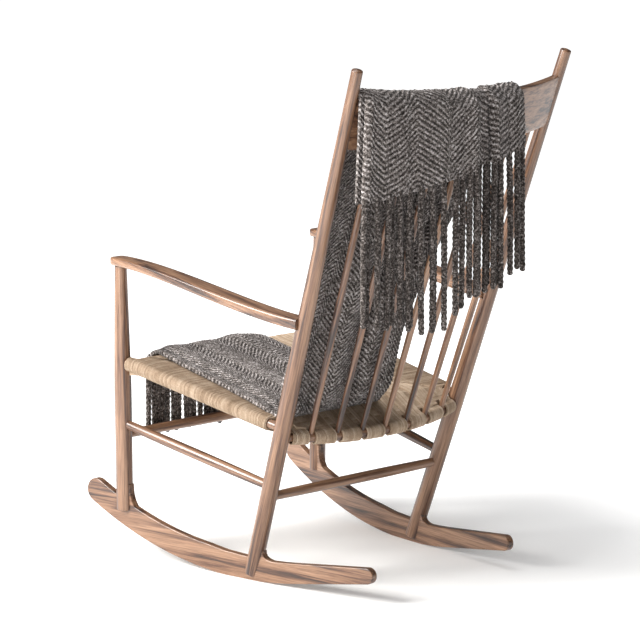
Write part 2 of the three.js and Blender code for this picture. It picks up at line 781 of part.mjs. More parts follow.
function wovenSeat() {
  const backReach = seatRear.x - WRAP_REAR_STOP;
  const windings = [sideWrap(-1), sideWrap(1), frontWrap()];
  const whole = windings.reduce((rest, tube) => rest.add(tube), seatSlab())
    .add(bowedTube(backReach, WRAP_RADIUS, BOW_STEPS, 14));
  const rails = [
    sideMember(-1, SIDE_RAIL, GAP),
    sideMember(1, SIDE_RAIL, GAP),
    frontMember(FRONT_RAIL, GAP),
    backRail(GAP),
  ];
  const legs = [legBlank(-1, 1), legBlank(1, 1), postClearing(-1), postClearing(1)];
  const notches = spindleIndices().map((index) => spindleNotch(index));
  return subtractAll(whole, [...rails, ...legs, ...notches]);
}

// ---------------------------------------------------------------- throw
const upright = frameOf(vec(1, 0, 0), vec(0, 1, 0), vec(0, 0, 1), vec(0, 0, 0));

// Rearmost edge of the crest's top in plan, where cloth leaves it to hang plumb.
function plumbLine(x) {
  const point = crestOrigin.clone()
    .addScaledVector(rakeUp, CREST_HEIGHT)
    .addScaledVector(rakeOut, crestBulge(x) + CREST_THICKNESS / 2);
  return point.y;
}

function hangingBand(left, right, inner, outer, low, high) {
  const points = [];
  const steps = 14;
  for (let k = 0; k <= steps; k += 1) {
    const x = THREE.MathUtils.lerp(right, left, k / steps);
    points.push([x, plumbLine(x) + inner]);
  }
  for (let k = steps; k >= 0; k -= 1) {
    const x = THREE.MathUtils.lerp(right, left, k / steps);
    points.push([x, plumbLine(x) + outer]);
  }
  const lift = new THREE.Matrix4().makeTranslation(0, 0, low);
  return prism(points, high - low, upright.clone().multiply(lift));
}

// A slanted cut across the back of the throw: the solid between two heights at its ends.
function slantedSlice(lowLeft, lowRight, highLeft, highRight) {
  const points = [
    [THROW_RIGHT - 40, lowRight],
    [throwLeft + 40, lowLeft],
    [throwLeft + 40, highLeft],
    [THROW_RIGHT - 40, highRight],
  ];
  const frame = frameOf(vec(1, 0, 0), vec(0, 0, 1), vec(0, -1, 0), vec(0, 700, 0));
  return prism(points, 500, frame);
}

function topFold(grow = 0, headroom = 0) {
  const inner = -CREST_THICKNESS / 2 - THROW_CLEAR - FOLD_THICKNESS - grow;
  const outer = CREST_THICKNESS / 2 + THROW_CLEAR + FOLD_THICKNESS + grow;
  const low = CREST_HEIGHT + THROW_CLEAR - grow;
  const high = CREST_HEIGHT + THROW_CLEAR + FOLD_THICKNESS + grow + headroom;
  return bentBand(THROW_RIGHT - grow, throwLeft + grow, inner, outer, low, high, 14);
}

function backPanel() {
  const inner = THROW_CLEAR + 2;
  const outer = inner + THROW_THICKNESS;
  const band = hangingBand(panelLeft, THROW_RIGHT, inner, outer, 500, CREST_TOP + 60);
  const slice = slantedSlice(HEM_LEFT, HEM_RIGHT, CREST_TOP, CREST_TOP);
  return subtractAll(band.intersect(slice), [topFold(GAP, 90), postBlank(1, THROW_CLEAR)]);
}

function backFringe() {
  const inner = THROW_CLEAR + 2.5;
  const outer = inner + FRINGE_THICKNESS;
  const band = hangingBand(panelLeft, THROW_RIGHT, inner, outer, 400, CREST_TOP);
  const slice = slantedSlice(
    HEM_LEFT - FRINGE_LENGTH, HEM_RIGHT - FRINGE_LENGTH, HEM_LEFT - GAP, HEM_RIGHT - GAP,
  );
  return subtractAll(band.intersect(slice), [postBlank(1, THROW_CLEAR)]);
}

function frontDrop() {
  const low = (DROP_FOOT_HEIGHT - CREST_BOTTOM) / rakeUp.z;
  const high = CREST_HEIGHT + THROW_CLEAR - GAP;
  const clear = CREST_THICKNESS / 2 + THROW_CLEAR;
  const band = bentBand(THROW_RIGHT, DROP_LEFT + 30, -clear - DROP_THICKNESS, -clear, low, high, 14);
  const slope = (crestHead.x - crestFoot.x) / CREST_HEIGHT;
  const outline = [
    [DROP_RIGHT_FOOT, low - 5],
    [DROP_LEFT - 14, low - 5],
    [DROP_LEFT + slope * high, high + 5],
    [THROW_RIGHT, high + 5],
    [THROW_RIGHT, -25],
    [DROP_RIGHT_FOOT - 40, low * 0.55],
  ];
  const back = rakeOut.clone().negate();
  const origin = crestOrigin.clone().addScaledVector(rakeOut, 120);
  const mask = prism(outline, 240, frameOf(vec(1, 0, 0), rakeUp, back, origin));
  const spindles = spindleIndices().map((index) => spindle(index, THROW_CLEAR));
  return subtractAll(band.intersect(mask), spindles);
}

// The cloth lies on the cord, and steps down onto the lower front rail.
function seatRunOut() {
  const rail = legAt(1, FRONT_RAIL.height);
  const nose = rail.z + WRAP_RADIUS + THROW_CLEAR;
  const front = rail.y - 8;
  const outline = [
    [RUN_RIGHT_FRONT, front],
    [RUN_LEFT_FRONT, front],
    [RUN_LEFT_REAR, RUN_REAR_Y],
    [RUN_RIGHT_REAR, RUN_REAR_Y],
  ];
  const step = rail.y + 40;
  const under = [
    [front - 5, nose],
    [rail.y, nose],
    [step, seatTop(step) + THROW_CLEAR],
    [RUN_REAR_Y + 5, seatTop(RUN_REAR_Y + 5) + THROW_CLEAR],
  ];
  const over = under.map(([y, z]) => [y, z + RUN_THICKNESS]).reverse();
  const frame = frameOf(vec(0, 1, 0), vec(0, 0, 1), vec(1, 0, 0), vec(-320, 0, 0));
  return prism([...under, ...over], 640, frame).intersect(prism(outline, 900, upright));
}

function frontFringe() {
  const rail = legAt(1, FRONT_RAIL.height);
  const behind = rail.y - WRAP_RADIUS - THROW_CLEAR;
  const ahead = behind - FRINGE_THICKNESS;
  const front = rail.y - 8 - GAP;
  const nose = rail.z + WRAP_RADIUS + THROW_CLEAR;
  const section = [
    [ahead, FRONT_FRINGE.tip],
    [behind, FRONT_FRINGE.tip],
    [behind, nose - 3],
    [front, nose + 3],
    [front, nose + RUN_THICKNESS - 1],
    [ahead + 4, nose + RUN_THICKNESS - 7],
    [ahead, nose + RUN_THICKNESS - 17],
  ];
  const origin = vec(FRONT_FRINGE.right, 0, 0);
  const frame = frameOf(vec(0, 1, 0), vec(0, 0, 1), vec(1, 0, 0), origin);
  return prism(section, FRONT_FRINGE.left - FRONT_FRINGE.right, frame);
}

// ---------------------------------------------------------------- assembly
const chair = new THREE.Group();
chair.name = "chair_frame";
const throwGroup = new THREE.Group();
throwGroup.name = "throw_cloth";

// Each piece keeps its own origin at the middle of its box, and is placed from there.
function place(group, name, manifold, material) {
  const geometry = toGeometry(manifold);
  geometry.computeBoundingBox();
  const centre = geometry.boundingBox.getCenter(vec(0, 0, 0));
  geometry.translate(-centre.x, -centre.y, -centre.z);
  const mesh = new THREE.Mesh(geometry, material.clone());
  mesh.name = name;
  mesh.position.copy(centre);
  group.add(mesh);
  return mesh;
}

for (const [word, side] of [["left", 1], ["right", -1]]) {
  place(chair, `rocker_${word}`, rocker(side), walnut);
  place(chair, `front_leg_${word}`, frontLeg(side), walnut);
  place(chair, `rear_post_${word}`, rearPost(side), walnut);
  place(chair, `armrest_${word}`, armrest(side), walnut);
  place(chair, `side_stretcher_${word}`, sideMember(side, SIDE_STRETCHER), walnut);
  place(chair, `seat_side_rail_${word}`, sideMember(side, SIDE_RAIL), walnut);
}
place(chair, "front_stretcher", frontMember(FRONT_STRETCHER), walnut);
place(chair, "rear_stretcher", rearStretcher(), walnut);
place(chair, "seat_front_rail", frontMember(FRONT_RAIL), walnut);
place(chair, "seat_back_rail", boredBackRail(), walnut);
place(chair, "crest_rail", crestRail(), walnut);
for (const index of spindleIndices()) {
  place(chair, `spindle_${index}`, spindle(index), walnut);
}
place(chair, "woven_seat", wovenSeat(), paperCord);

place(throwGroup, "throw_top_fold", topFold(), wool);
place(throwGroup, "throw_back_panel", backPanel(), wool);
place(throwGroup, "throw_back_fringe", backFringe(), wool);
place(throwGroup, "throw_front_drop", frontDrop(), wool);
place(throwGroup, "throw_seat_run", seatRunOut(), wool);
place(throwGroup, "throw_front_fringe", frontFringe(), wool);

// The origin is on the floor under the middle of the whole object's box.
const group = new THREE.Group();
group.add(chair, throwGroup);
group.updateMatrixWorld(true);
const extent = new THREE.Box3().setFromObject(group, true);
const middle = extent.getCenter(vec(0, 0, 0));
group.position.set(-middle.x, -middle.y, -extent.min.z);

export default group;
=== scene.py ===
# %% [markdown]
# A spindle-back rocking chair in oiled walnut. The seat is wound in paper cord, and a chunky
# wool throw hangs over the crest of the back and runs down over the seat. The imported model
# gives every size and joint. This script builds the finished pieces in that same space.

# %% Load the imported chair
import math
import random

import bmesh
import bpy
from mathutils import Matrix, Vector


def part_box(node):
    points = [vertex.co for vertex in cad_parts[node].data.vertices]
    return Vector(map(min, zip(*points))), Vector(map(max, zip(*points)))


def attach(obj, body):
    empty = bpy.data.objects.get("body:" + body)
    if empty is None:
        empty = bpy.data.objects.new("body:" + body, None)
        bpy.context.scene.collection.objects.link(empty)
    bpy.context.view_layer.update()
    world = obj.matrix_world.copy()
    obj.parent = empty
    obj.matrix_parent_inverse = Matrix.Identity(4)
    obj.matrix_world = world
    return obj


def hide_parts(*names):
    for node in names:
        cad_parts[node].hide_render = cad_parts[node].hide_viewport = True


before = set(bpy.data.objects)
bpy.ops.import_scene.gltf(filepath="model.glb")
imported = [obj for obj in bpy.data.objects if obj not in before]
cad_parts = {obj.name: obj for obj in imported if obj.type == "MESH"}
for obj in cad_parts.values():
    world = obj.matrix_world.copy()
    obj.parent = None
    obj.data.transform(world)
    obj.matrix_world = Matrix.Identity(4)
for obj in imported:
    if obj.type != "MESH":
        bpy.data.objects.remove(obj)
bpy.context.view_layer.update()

# %% [markdown]
# The chair was drawn with its own origin between the rockers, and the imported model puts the
# origin under the middle of the whole box. The front legs are upright, so the middle of one
# leg's box tells how far the drawing has moved. `spot` turns a place in the drawing into a
# place in the scene.

# %% Places in the drawing
leg_low, leg_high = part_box("front_leg_left")
LEG_Y = -0.218
SHIFT = (leg_low.y + leg_high.y) / 2 - LEG_Y


def spot(x, y, z):
    return Vector((x, y + SHIFT, z))


SIDES = (("left", 1), ("right", -1))


def mix(a, b, share):
    return a + (b - a) * share


print("drawing moved by", round(SHIFT * 1000, 1), "mm along Y")

# %% [markdown]
# Every finish below is a small tree of nodes, and every piece ends as an object linked to the
# scene. These helpers keep both short.

# %% Helpers for nodes and objects
WHITE = (1.0, 1.0, 1.0)


def add(tree, kind, **values):
    """A new node; each value is an input of that name or else a setting."""
    node = tree.nodes.new(f"ShaderNode{kind}")
    for name, value in values.items():
        if name in node.inputs:
            node.inputs[name].default_value = value
        else:
            setattr(node, name, value)
    return node


def wire(tree, *links):
    """Joins nodes; each link is (from node, its output, to node, its input)."""
    for source, output, target, entry in links:
        tree.links.new(source.outputs[output], target.inputs[entry])


def fill_in(node, values):
    for name, value in values.items():
        node.inputs[name].default_value = value


def calc(tree, operation, first, second=None, third=None):
    """The output of a Math node whose inputs are numbers or other outputs."""
    node = add(tree, "Math", operation=operation)
    for place, value in enumerate((first, second, third)):
        if isinstance(value, (int, float)):
            node.inputs[place].default_value = value
        elif value is not None:
            tree.links.new(value, node.inputs[place])
    return node.outputs[0]


def noise(tree, source, output, scale, detail, rough=0.5, bend=0.0):
    node = add(tree, "TexNoise", Scale=scale, Detail=detail, Roughness=rough, Distortion=bend)
    wire(tree, (source, output, node, "Vector"))
    return node


def weigh(tree, *parts):
    """The sum of the nodes' outputs, each times its own weight."""
    total = None
    for node, output, weight in parts:
        part = calc(tree, "MULTIPLY", node.outputs[output], weight)
        total = calc(tree, "ADD", total, part) if total else part
    return total


def ramp(tree, stops):
    node = add(tree, "ValToRGB")
    bands = node.color_ramp.elements
    while len(bands) < len(stops):
        bands.new(0.5)
    for band, (place, color) in zip(bands, stops):
        band.position = place
        band.color = (*color, 1.0)
    return node


def new_group(name, inputs, outputs):
    tree = bpy.data.node_groups.new(name, "ShaderNodeTree")
    for way, sockets in (("INPUT", inputs), ("OUTPUT", outputs)):
        for label, kind in sockets.items():
            tree.interface.new_socket(name=label, in_out=way, socket_type=f"NodeSocket{kind}")
    return tree, tree.nodes.new("NodeGroupInput"), tree.nodes.new("NodeGroupOutput")


def new_finish(name):
    finish = bpy.data.materials.new(name)
    finish.use_nodes = True
    tree = finish.node_tree
    return finish, tree, tree.nodes["Principled BSDF"]


def put(name, data):
    thing = bpy.data.objects.new(name, data)
    bpy.context.scene.collection.objects.link(thing)
    return thing


def put_mesh(name, bm):
    """Turns a bmesh into an object of the scene."""
    data = bpy.data.meshes.new(name)
    bm.to_mesh(data)
    bm.free()
    return put(name, data)


print("helpers ready")

# %% [markdown]
# The camera stands behind the chair, to the sitter's left, with a long lens a good way off, so
# that the posts stay nearly parallel. It comes first, for every look at the work goes through it.

# %% Camera
CAMERA_PLACE = spot(4.7745, 5.0290, 1.7149)
CAMERA_AZIMUTH, CAMERA_ELEVATION = math.radians(136.04), math.radians(10.032)
LENS_MM, SENSOR_MM = 191.25, 36.0

camera_data = bpy.data.cameras.new("camera")
camera_data.lens, camera_data.sensor_width = LENS_MM, SENSOR_MM
camera_data.clip_end = 60.0
camera = put("camera", camera_data)
camera.location = CAMERA_PLACE
camera.rotation_euler = (math.pi / 2 - CAMERA_ELEVATION, 0.0, CAMERA_AZIMUTH)
bpy.context.scene.camera = camera
bpy.context.scene.view_settings.view_transform = "Standard"
print("camera", round((CAMERA_PLACE - spot(0.0, 0.0, 0.5)).length, 2), "m off")

# %% [markdown]
# A broad key light lights the arms and the seat. A tall narrow one draws a line of light down
# every turned part, so that it reads as round. The surround is bright to the camera and dim to
# the pieces, so it doesn't wash out the wood.

# %% Lights and surround
SURROUND_SEEN, SURROUND_LIGHT = 1.0, 0.13
MIDDLE = spot(0.0, 0.1, 0.5)


def area_light(name, place, target, width, height, watts, tint):
    """A lamp that faces its target: a disk, or a rectangle when a height is given."""
    data = bpy.data.lights.new(name, "AREA")
    data.shape = "RECTANGLE" if height else "DISK"
    data.size = width
    if height:
        data.size_y = height
    data.energy = watts
    data.color = tint
    lamp = put(name, data)
    lamp.location = place
    lamp.rotation_euler = (target - place).to_track_quat("-Z", "Y").to_euler()
    print(name, watts, "W")


for light in (
    ("key_light", spot(3.4, -1.6, 2.6), MIDDLE, 2.2, None, 365.0, (1.0, 0.985, 0.96)),
    ("side_light", spot(3.4, 0.85, 1.2), MIDDLE, 0.35, 2.6, 42.0, WHITE),
    ("low_fill", spot(2.6, 3.4, 0.5), spot(0.0, 0.0, 0.15), 1.4, None, 9.0, WHITE),
    ("top_light", spot(0.4, -0.3, 3.6), MIDDLE, 2.4, None, 60.0, WHITE),
):
    area_light(*light)

world = bpy.data.worlds.new("studio")
world.use_nodes = True
surround = world.node_tree.nodes["Background"]
fill_in(surround, {"Color": (*WHITE, 1.0)})
seen = add(world.node_tree, "LightPath")
level = add(world.node_tree, "MapRange")
fill_in(level, {"To Min": SURROUND_LIGHT, "To Max": SURROUND_SEEN})
wire(
    world.node_tree,
    (seen, "Is Camera Ray", level, "Value"), (level, "Result", surround, "Strength"),
)
bpy.context.scene.world = world

# %% [markdown]
# The floor is a wide pale disk. It glows a little, and more the further it is from the chair, so
# that it runs out to plain white while a soft shadow still holds the rockers to the ground.

# %% Floor
FLOOR_RADIUS, FLOOR_TONE = 30.0, 0.82
GLOW_FROM, GLOW_TO = 0.1, 1.9
GLOW_LEAST, GLOW_MOST = 0.16, 0.95

bm = bmesh.new()
bmesh.ops.create_circle(bm, cap_ends=True, radius=FLOOR_RADIUS, segments=64)
floor = put_mesh("studio_floor", bm)
paint, tree, shader = new_finish("floor_paint")
fill_in(shader, {
    "Base Color": (FLOOR_TONE, FLOOR_TONE, FLOOR_TONE, 1.0),
    "Roughness": 0.9,
    "Specular IOR Level": 0.1,
    "Emission Color": (*WHITE, 1.0),
})
place = add(tree, "TexCoord")
far = add(tree, "VectorMath", operation="LENGTH")
glow = add(tree, "MapRange", interpolation_type="SMOOTHSTEP")
fill_in(glow, {
    "From Min": GLOW_FROM, "From Max": GLOW_TO, "To Min": GLOW_LEAST, "To Max": GLOW_MOST,
})
wire(
    tree, (place, "Object", far, 0), (far, "Value", glow, "Value"),
    (glow, "Result", shader, "Emission Strength"),
)
floor.data.materials.append(paint)
print("stage", floor.name)

# %% [markdown]
# Walnut shows long dark streaks that follow the length of each member, with fine open pores
# between them. The grain is noise, drawn out to nearly thirty times its length along one axis.
# A group holds it, so that every member's finish shares the same figure and colours.

# %% Walnut grain group
wood, grain_in, grain_out = new_group(
    "walnut_grain", {"Vector": "Vector"},
    {"Color": "Color", "Roughness": "Float", "Height": "Float"},
)
streaks = noise(wood, grain_in, "Vector", 135.0, 5.0, 0.66, 0.5)
bands = noise(wood, grain_in, "Vector", 38.0, 2.0, 0.5, 1.0)
pores = noise(wood, grain_in, "Vector", 420.0, 2.0, 0.6)
body_tone = ramp(wood, [
    (0.39, (0.026, 0.012, 0.008)),
    (0.45, (0.115, 0.053, 0.029)),
    (0.51, (0.215, 0.112, 0.062)),
    (0.62, (0.330, 0.190, 0.113)),
])
streak_mix = weigh(wood, (streaks, "Fac", 0.55), (bands, "Fac", 0.45))
wood.links.new(streak_mix, body_tone.inputs["Fac"])
pore_tone = ramp(wood, [(0.36, (0.55, 0.5, 0.48)), (0.52, WHITE)])
stain = add(wood, "Mix", data_type="RGBA", blend_type="MULTIPLY")
stain.inputs["Factor"].default_value = 0.75
wire(
    wood, (pores, "Fac", pore_tone, "Fac"),
    (body_tone, "Color", stain, "A"), (pore_tone, "Color", stain, "B"),
    (stain, "Result", grain_out, "Color"), (pores, "Fac", grain_out, "Height"),
)
wood.links.new(
    calc(wood, "MULTIPLY_ADD", streaks.outputs["Fac"], -0.14, 0.44),
    grain_out.inputs["Roughness"],
)
print("group", wood.name)

# %% [markdown]
# Grain follows the length of the piece it was cut from. So each member has its own finish, which
# turns the coordinates until the long axis lies along it, and shifts them so that left and right
# differ. A thin coat gives the sheen of rubbed oil.

# %% One walnut finish for each direction of grain
GRAIN_SQUEEZE = 0.036
walnut_finishes = {}


def walnut(label, direction, move=0.0):
    """Oiled walnut whose grain runs along the given direction."""
    key = f"walnut_{label}"
    if key in walnut_finishes:
        return walnut_finishes[key]
    finish, tree, shader = new_finish(key)
    turn = Vector(direction).normalized().rotation_difference(Vector((0.0, 0.0, 1.0)))
    place = add(tree, "TexCoord")
    align = add(tree, "Mapping")
    align.inputs["Rotation"].default_value = turn.to_euler()
    align.inputs["Location"].default_value = (move, move * 0.7, 0.0)
    squeeze = add(tree, "Mapping", Scale=(1.0, 1.0, GRAIN_SQUEEZE))
    grain = add(tree, "Group", node_tree=wood)
    relief = add(tree, "Bump", Strength=0.12, Distance=0.0006)
    wire(
        tree, (place, "Object", align, "Vector"), (align, "Vector", squeeze, "Vector"),
        (squeeze, "Vector", grain, "Vector"), (grain, "Color", shader, "Base Color"),
        (grain, "Roughness", shader, "Roughness"), (grain, "Height", relief, "Height"),
        (relief, "Normal", shader, "Normal"),
    )
    fill_in(shader, {"Coat Weight": 0.50, "Coat Roughness": 0.26})
    walnut_finishes[key] = finish
    return finish


print("walnut", walnut("upright", (0, 0, 1)).name)

# %% [markdown]
# The seat's cord is paper, twisted tight, and a little paler where it is worn. White noise gives
# every strand a tone of its own, slow noise adds the worn patches, and fine noise stands for the
# twist. Strands are counted by their pitch, so there is one finish for each way the cord runs.

# %% Paper cord finish
PITCH = 0.0036


def cord_finish(name, axis):
    """Paper cord whose strands are counted along the given axis, one tone to a strand."""
    finish, tree, shader = new_finish(name)
    place = add(tree, "TexCoord")
    axes = add(tree, "SeparateXYZ")
    wire(tree, (place, "Object", axes, "Vector"))
    number = calc(tree, "FLOOR", calc(tree, "DIVIDE", axes.outputs[axis], PITCH))
    own = add(tree, "TexWhiteNoise", noise_dimensions="1D")
    tree.links.new(number, own.inputs["W"])
    slow = noise(tree, place, "Object", 60.0, 3.0, 0.7)
    fine = noise(tree, place, "Object", 700.0, 2.0, 0.6)
    tone = ramp(tree, [
        (0.22, (0.150, 0.098, 0.060)),
        (0.45, (0.330, 0.240, 0.165)),
        (0.75, (0.560, 0.450, 0.345)),
    ])
    relief = add(tree, "Bump", Strength=0.35, Distance=0.0004)
    blend = weigh(tree, (slow, "Fac", 0.45), (fine, "Fac", 0.35), (own, "Value", 0.22))
    tree.links.new(blend, tone.inputs["Fac"])
    wire(
        tree, (tone, "Color", shader, "Base Color"), (fine, "Fac", relief, "Height"),
        (relief, "Normal", shader, "Normal"),
    )
    fill_in(shader, {"Roughness": 0.82, "Specular IOR Level": 0.25})
    return finish


cord_across = cord_finish("paper_cord_across", "Y")
cord_lengthwise = cord_finish("paper_cord_lengthwise", "X")
print("finishes", cord_across.name, cord_lengthwise.name)

# %% [markdown]
# The throw is spun from dark and pale fibre, so every stitch is speckled. Noise pushed through a
# steep ramp gives that speckle. It is a group, since cloth and tassels are of the same yarn.

# %% Marled yarn group
marl, marl_in, marl_out = new_group(
    "marled_yarn", {"Vector": "Vector", "Shade": "Float"}, {"Color": "Color", "Height": "Float"},
)
speckle = noise(marl, marl_in, "Vector", 260.0, 3.0, 0.7)
clump = noise(marl, marl_in, "Vector", 60.0, 2.0)
sum_marl = calc(
    marl, "ADD",
    calc(marl, "MULTIPLY_ADD", speckle.outputs["Fac"], 0.86, -0.02),
    calc(marl, "MULTIPLY", clump.outputs["Fac"], 0.16),
)
# the Shade input moves the ramp: the cloth's own tone, plus painted shade for rib grooves and
# tassels
shaded = calc(marl, "ADD", sum_marl, marl_in.outputs["Shade"])
yarn_tone = ramp(marl, [
    (0.38, (0.016, 0.012, 0.010)),
    (0.48, (0.092, 0.076, 0.068)),
    (0.57, (0.275, 0.244, 0.233)),
    (0.70, (0.680, 0.640, 0.636)),
])
marl.links.new(shaded, yarn_tone.inputs["Fac"])
wire(marl, (yarn_tone, "Color", marl_out, "Color"), (speckle, "Fac", marl_out, "Height"))
print("group", marl.name)

# %% [markdown]
# The cloth is a herringbone: ribs that run up at an angle and turn back at each column. A wave
# through the cloth's own UV map, in metres, draws them, however the cloth is folded. The same wave
# paints shade into the grooves between the ribs, and the tassels' yarn is painted darker than the
# cloth's, as the shade they hang in.

# %% Herringbone cloth and tassel finishes
RIB_PITCH = 0.0108
COLUMN = 0.078
RIB_SLOPE = 0.85
# the rib and tassel terms paint shade: darker rib grooves, and tassels darker than the cloth for
# the shade they hang in
CLOTH_SHADE, RIB_GROOVE_PAINTED_SHADE, TASSEL_PAINTED_SHADE = -0.062, 0.13, -0.052


def herringbone(tree):
    """A wave from 0 to 1 that runs up the cloth at a slope and turns back at each column."""
    flat = add(tree, "UVMap", uv_map="cloth")
    axes = add(tree, "SeparateXYZ")
    wobble = noise(tree, flat, "UV", 24.0, 1.0)
    wire(tree, (flat, "UV", axes, "Vector"))
    zigzag = calc(tree, "PINGPONG", axes.outputs["X"], COLUMN)
    rise = calc(tree, "MULTIPLY_ADD", zigzag, RIB_SLOPE, axes.outputs["Y"])
    bent = calc(tree, "MULTIPLY_ADD", wobble.outputs["Fac"], 0.006, rise)
    turns = calc(tree, "MULTIPLY", bent, 2 * math.pi / RIB_PITCH)
    return calc(tree, "MULTIPLY_ADD", calc(tree, "SINE", turns), 0.5, 0.5)


def wool_finish(name, strength, distance, ribbed):
    finish, tree, shader = new_finish(name)
    fill_in(shader, {
        "Roughness": 0.95, "Specular IOR Level": 0.12,
        "Sheen Weight": 0.12, "Sheen Roughness": 0.6,
    })
    place = add(tree, "TexCoord")
    yarn = add(tree, "Group", node_tree=marl)
    relief = add(tree, "Bump", Strength=strength, Distance=distance)
    wire(
        tree, (place, "Object", yarn, "Vector"), (relief, "Normal", shader, "Normal"),
        (yarn, "Color", shader, "Base Color"),
    )
    height = yarn.outputs["Height"]
    if ribbed:
        rib = herringbone(tree)
        height = calc(tree, "MULTIPLY_ADD", height, 0.9, rib)
        # the rib wave darkens the grooves between the ribs: painted shade on top of the cloth's
        # own tone
        shade = calc(tree, "MULTIPLY_ADD", rib, RIB_GROOVE_PAINTED_SHADE, CLOTH_SHADE)
        tree.links.new(shade, yarn.inputs["Shade"])
    else:
        # the tassels' yarn is painted darker than the cloth's, as the shade they hang in
        yarn.inputs["Shade"].default_value = TASSEL_PAINTED_SHADE
    tree.links.new(height, relief.inputs["Height"])
    return finish


wool_cloth = wool_finish("wool_herringbone", 0.9, 0.0028, True)
wool_tassel = wool_finish("wool_tassel", 0.8, 0.0022, False)
print("finishes", wool_cloth.name, wool_tassel.name)

# %% [markdown]
# Nearly every wooden member is one cross-section carried along a line: round for the turned
# parts, a rectangle with soft corners for the arms and the crest. So one helper extrudes a circle
# from station to station and sets each new ring in place. A power of 2 leaves the ring round, and
# a higher power presses it towards a rectangle. Lobes are for twisted yarn.

# %% The swept piece
SHARP = math.radians(38.0)
LOBE_DEPTH = 0.12


def set_ring(verts, turn, station):
    centre, right, up, half_width, half_height, power = station[:6]
    lobes, twist = station[6:] if len(station) > 6 else (0, 0.0)
    for vert in verts:
        angle = vert[turn]
        a, b = math.cos(angle), math.sin(angle)
        reach = (abs(a) ** power + abs(b) ** power) ** (-1.0 / power)
        if lobes:
            reach *= 1.0 + LOBE_DEPTH * math.cos(lobes * angle - twist)
        vert.co = centre + right * (a * reach * half_width) + up * (b * reach * half_height)


def sweep(bm, stations, count):
    turn = bm.verts.layers.float.get("turn") or bm.verts.layers.float.new("turn")
    ring = bmesh.ops.create_circle(bm, cap_ends=True, radius=1.0, segments=count)["verts"]
    for vert in ring:
        vert[turn] = math.atan2(vert.co.y, vert.co.x)
    edges = list(ring[0].link_faces[0].edges)
    set_ring(ring, turn, stations[0])
    for station in stations[1:]:
        made = bmesh.ops.extrude_edge_only(bm, edges=edges)["geom"]
        ring = [part for part in made if isinstance(part, bmesh.types.BMVert)]
        edges = [part for part in made if isinstance(part, bmesh.types.BMEdge)]
        set_ring(ring, turn, station)
    bmesh.ops.edgenet_fill(bm, edges=edges)


def soften(bm):
    bmesh.ops.recalc_face_normals(bm, faces=bm.faces)
    for face in bm.faces:
        face.smooth = True
    for edge in bm.edges:
        edge.smooth = edge.is_manifold and edge.calc_face_angle(0.0) < SHARP


def finished(name, bm, finish, body, nodes):
    """Turns a bmesh into a piece that stands for its CAD nodes."""
    piece = put_mesh(name, bm)
    piece.data.materials.append(finish)
    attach(piece, body)
    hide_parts(*nodes)
    return piece


def wooden(name, bm, grain, node):
    soften(bm)
    return finished(name, bm, grain, "chair", [node])


def carry(point, tangent, right, radius):
    """A round station at a point, square to the line's direction."""
    side = (right - tangent * right.dot(tangent)).normalized()
    return (point, side, tangent.cross(side), radius, radius, 2.0)


print("sweep ready")

# %% [markdown]
# The posts, legs, stretchers, rails and spindles are turned on a lathe. Each is given by its two
# ends and a list of distances and radii, as a turner would mark them out.

# %% Lines of the legs and posts
POST_FOOT, POST_TOP = (0.231, 0.1215, 0.012), (0.293, 0.484, 1.065)
LEG_FOOT, LEG_TOP = (0.278, LEG_Y, 0.095), (0.283, LEG_Y, 0.608)
# where each is thickest, the way from there to its top and to its foot, and the three radii
POST_SWELL, POST_UP, POST_DOWN = 0.33, 0.735, 0.318
POST_THICK, POST_TIP, POST_BASE = 0.0174, 0.0112, 0.0168
LEG_SWELL, LEG_UP, LEG_DOWN = 0.355, 0.253, 0.26
LEG_THICK, LEG_TIP, LEG_BASE = 0.0181, 0.0124, 0.0174


def on_line(foot, top, side, height):
    share = (height - foot[2]) / (top[2] - foot[2])
    return spot(side * mix(foot[0], top[0], share), mix(foot[1], top[1], share), height)


def on_post(side, height):
    return on_line(POST_FOOT, POST_TOP, side, height)


def on_leg(side, height):
    return on_line(LEG_FOOT, LEG_TOP, side, height)


def post_radius(height):
    if height > POST_SWELL:
        return mix(POST_THICK, POST_TIP, (height - POST_SWELL) / POST_UP)
    return mix(POST_THICK, POST_BASE, (POST_SWELL - height) / POST_DOWN)


def leg_radius(height):
    if height > LEG_SWELL:
        return mix(LEG_THICK, LEG_TIP, ((height - LEG_SWELL) / LEG_UP) ** 1.15)
    return mix(LEG_THICK, LEG_BASE, (LEG_SWELL - height) / LEG_DOWN)


def turned(bm, start, end, marks, count=40):
    """A turned solid between two points; marks are (distance from the start, radius)."""
    tangent = (end - start).normalized()
    right = Vector((1.0, 0.0, 0.0)) if abs(tangent.x) < 0.8 else Vector((0.0, 0.0, 1.0))
    stations = [carry(start + tangent * far, tangent, right, radius) for far, radius in marks]
    sweep(bm, stations, count)


print("post at the seat", [round(v, 3) for v in on_post(1, POST_SWELL)])

# %% [markdown]
# The feet of the posts and front legs are sawn with an open slot that straddles the rocker. That
# is easiest as one block taken away from the turned solid with a Boolean modifier. The block is a
# little wider than the rocker is thick. The posts end in a small dome.

# %% Slots, rear posts and front legs
LUG_FRONT_TOP, LUG_REAR_TOP = 0.151, 0.065
SLOT_FRONT, SLOT_REAR = Vector((0.275, LEG_Y)), Vector((0.234, 0.1215))
SLOT_WIDTH, SLOT_LENGTH, SLOT_START = 0.0174, 1.4, 0.32
SLOT_SPARE, SLOT_BELOW = 0.0008, 0.2
DOME, DOME_ROUND, DOME_INNER = 0.0045, 0.0025, 0.0087
DOME_TURNS = [math.radians(turn) for turn in (20, 40, 60, 78)]
POST_CROWN = [
    (DOME_ROUND * math.sin(turn) - DOME, DOME_INNER + DOME_ROUND * math.cos(turn))
    for turn in DOME_TURNS
] + [(-0.0012, 0.0065), (-0.0003, 0.0035), (0.0, 0.0012)]
LEG_CROWN = [(0.0002, 0.0070), (0.013, 0.0070)]


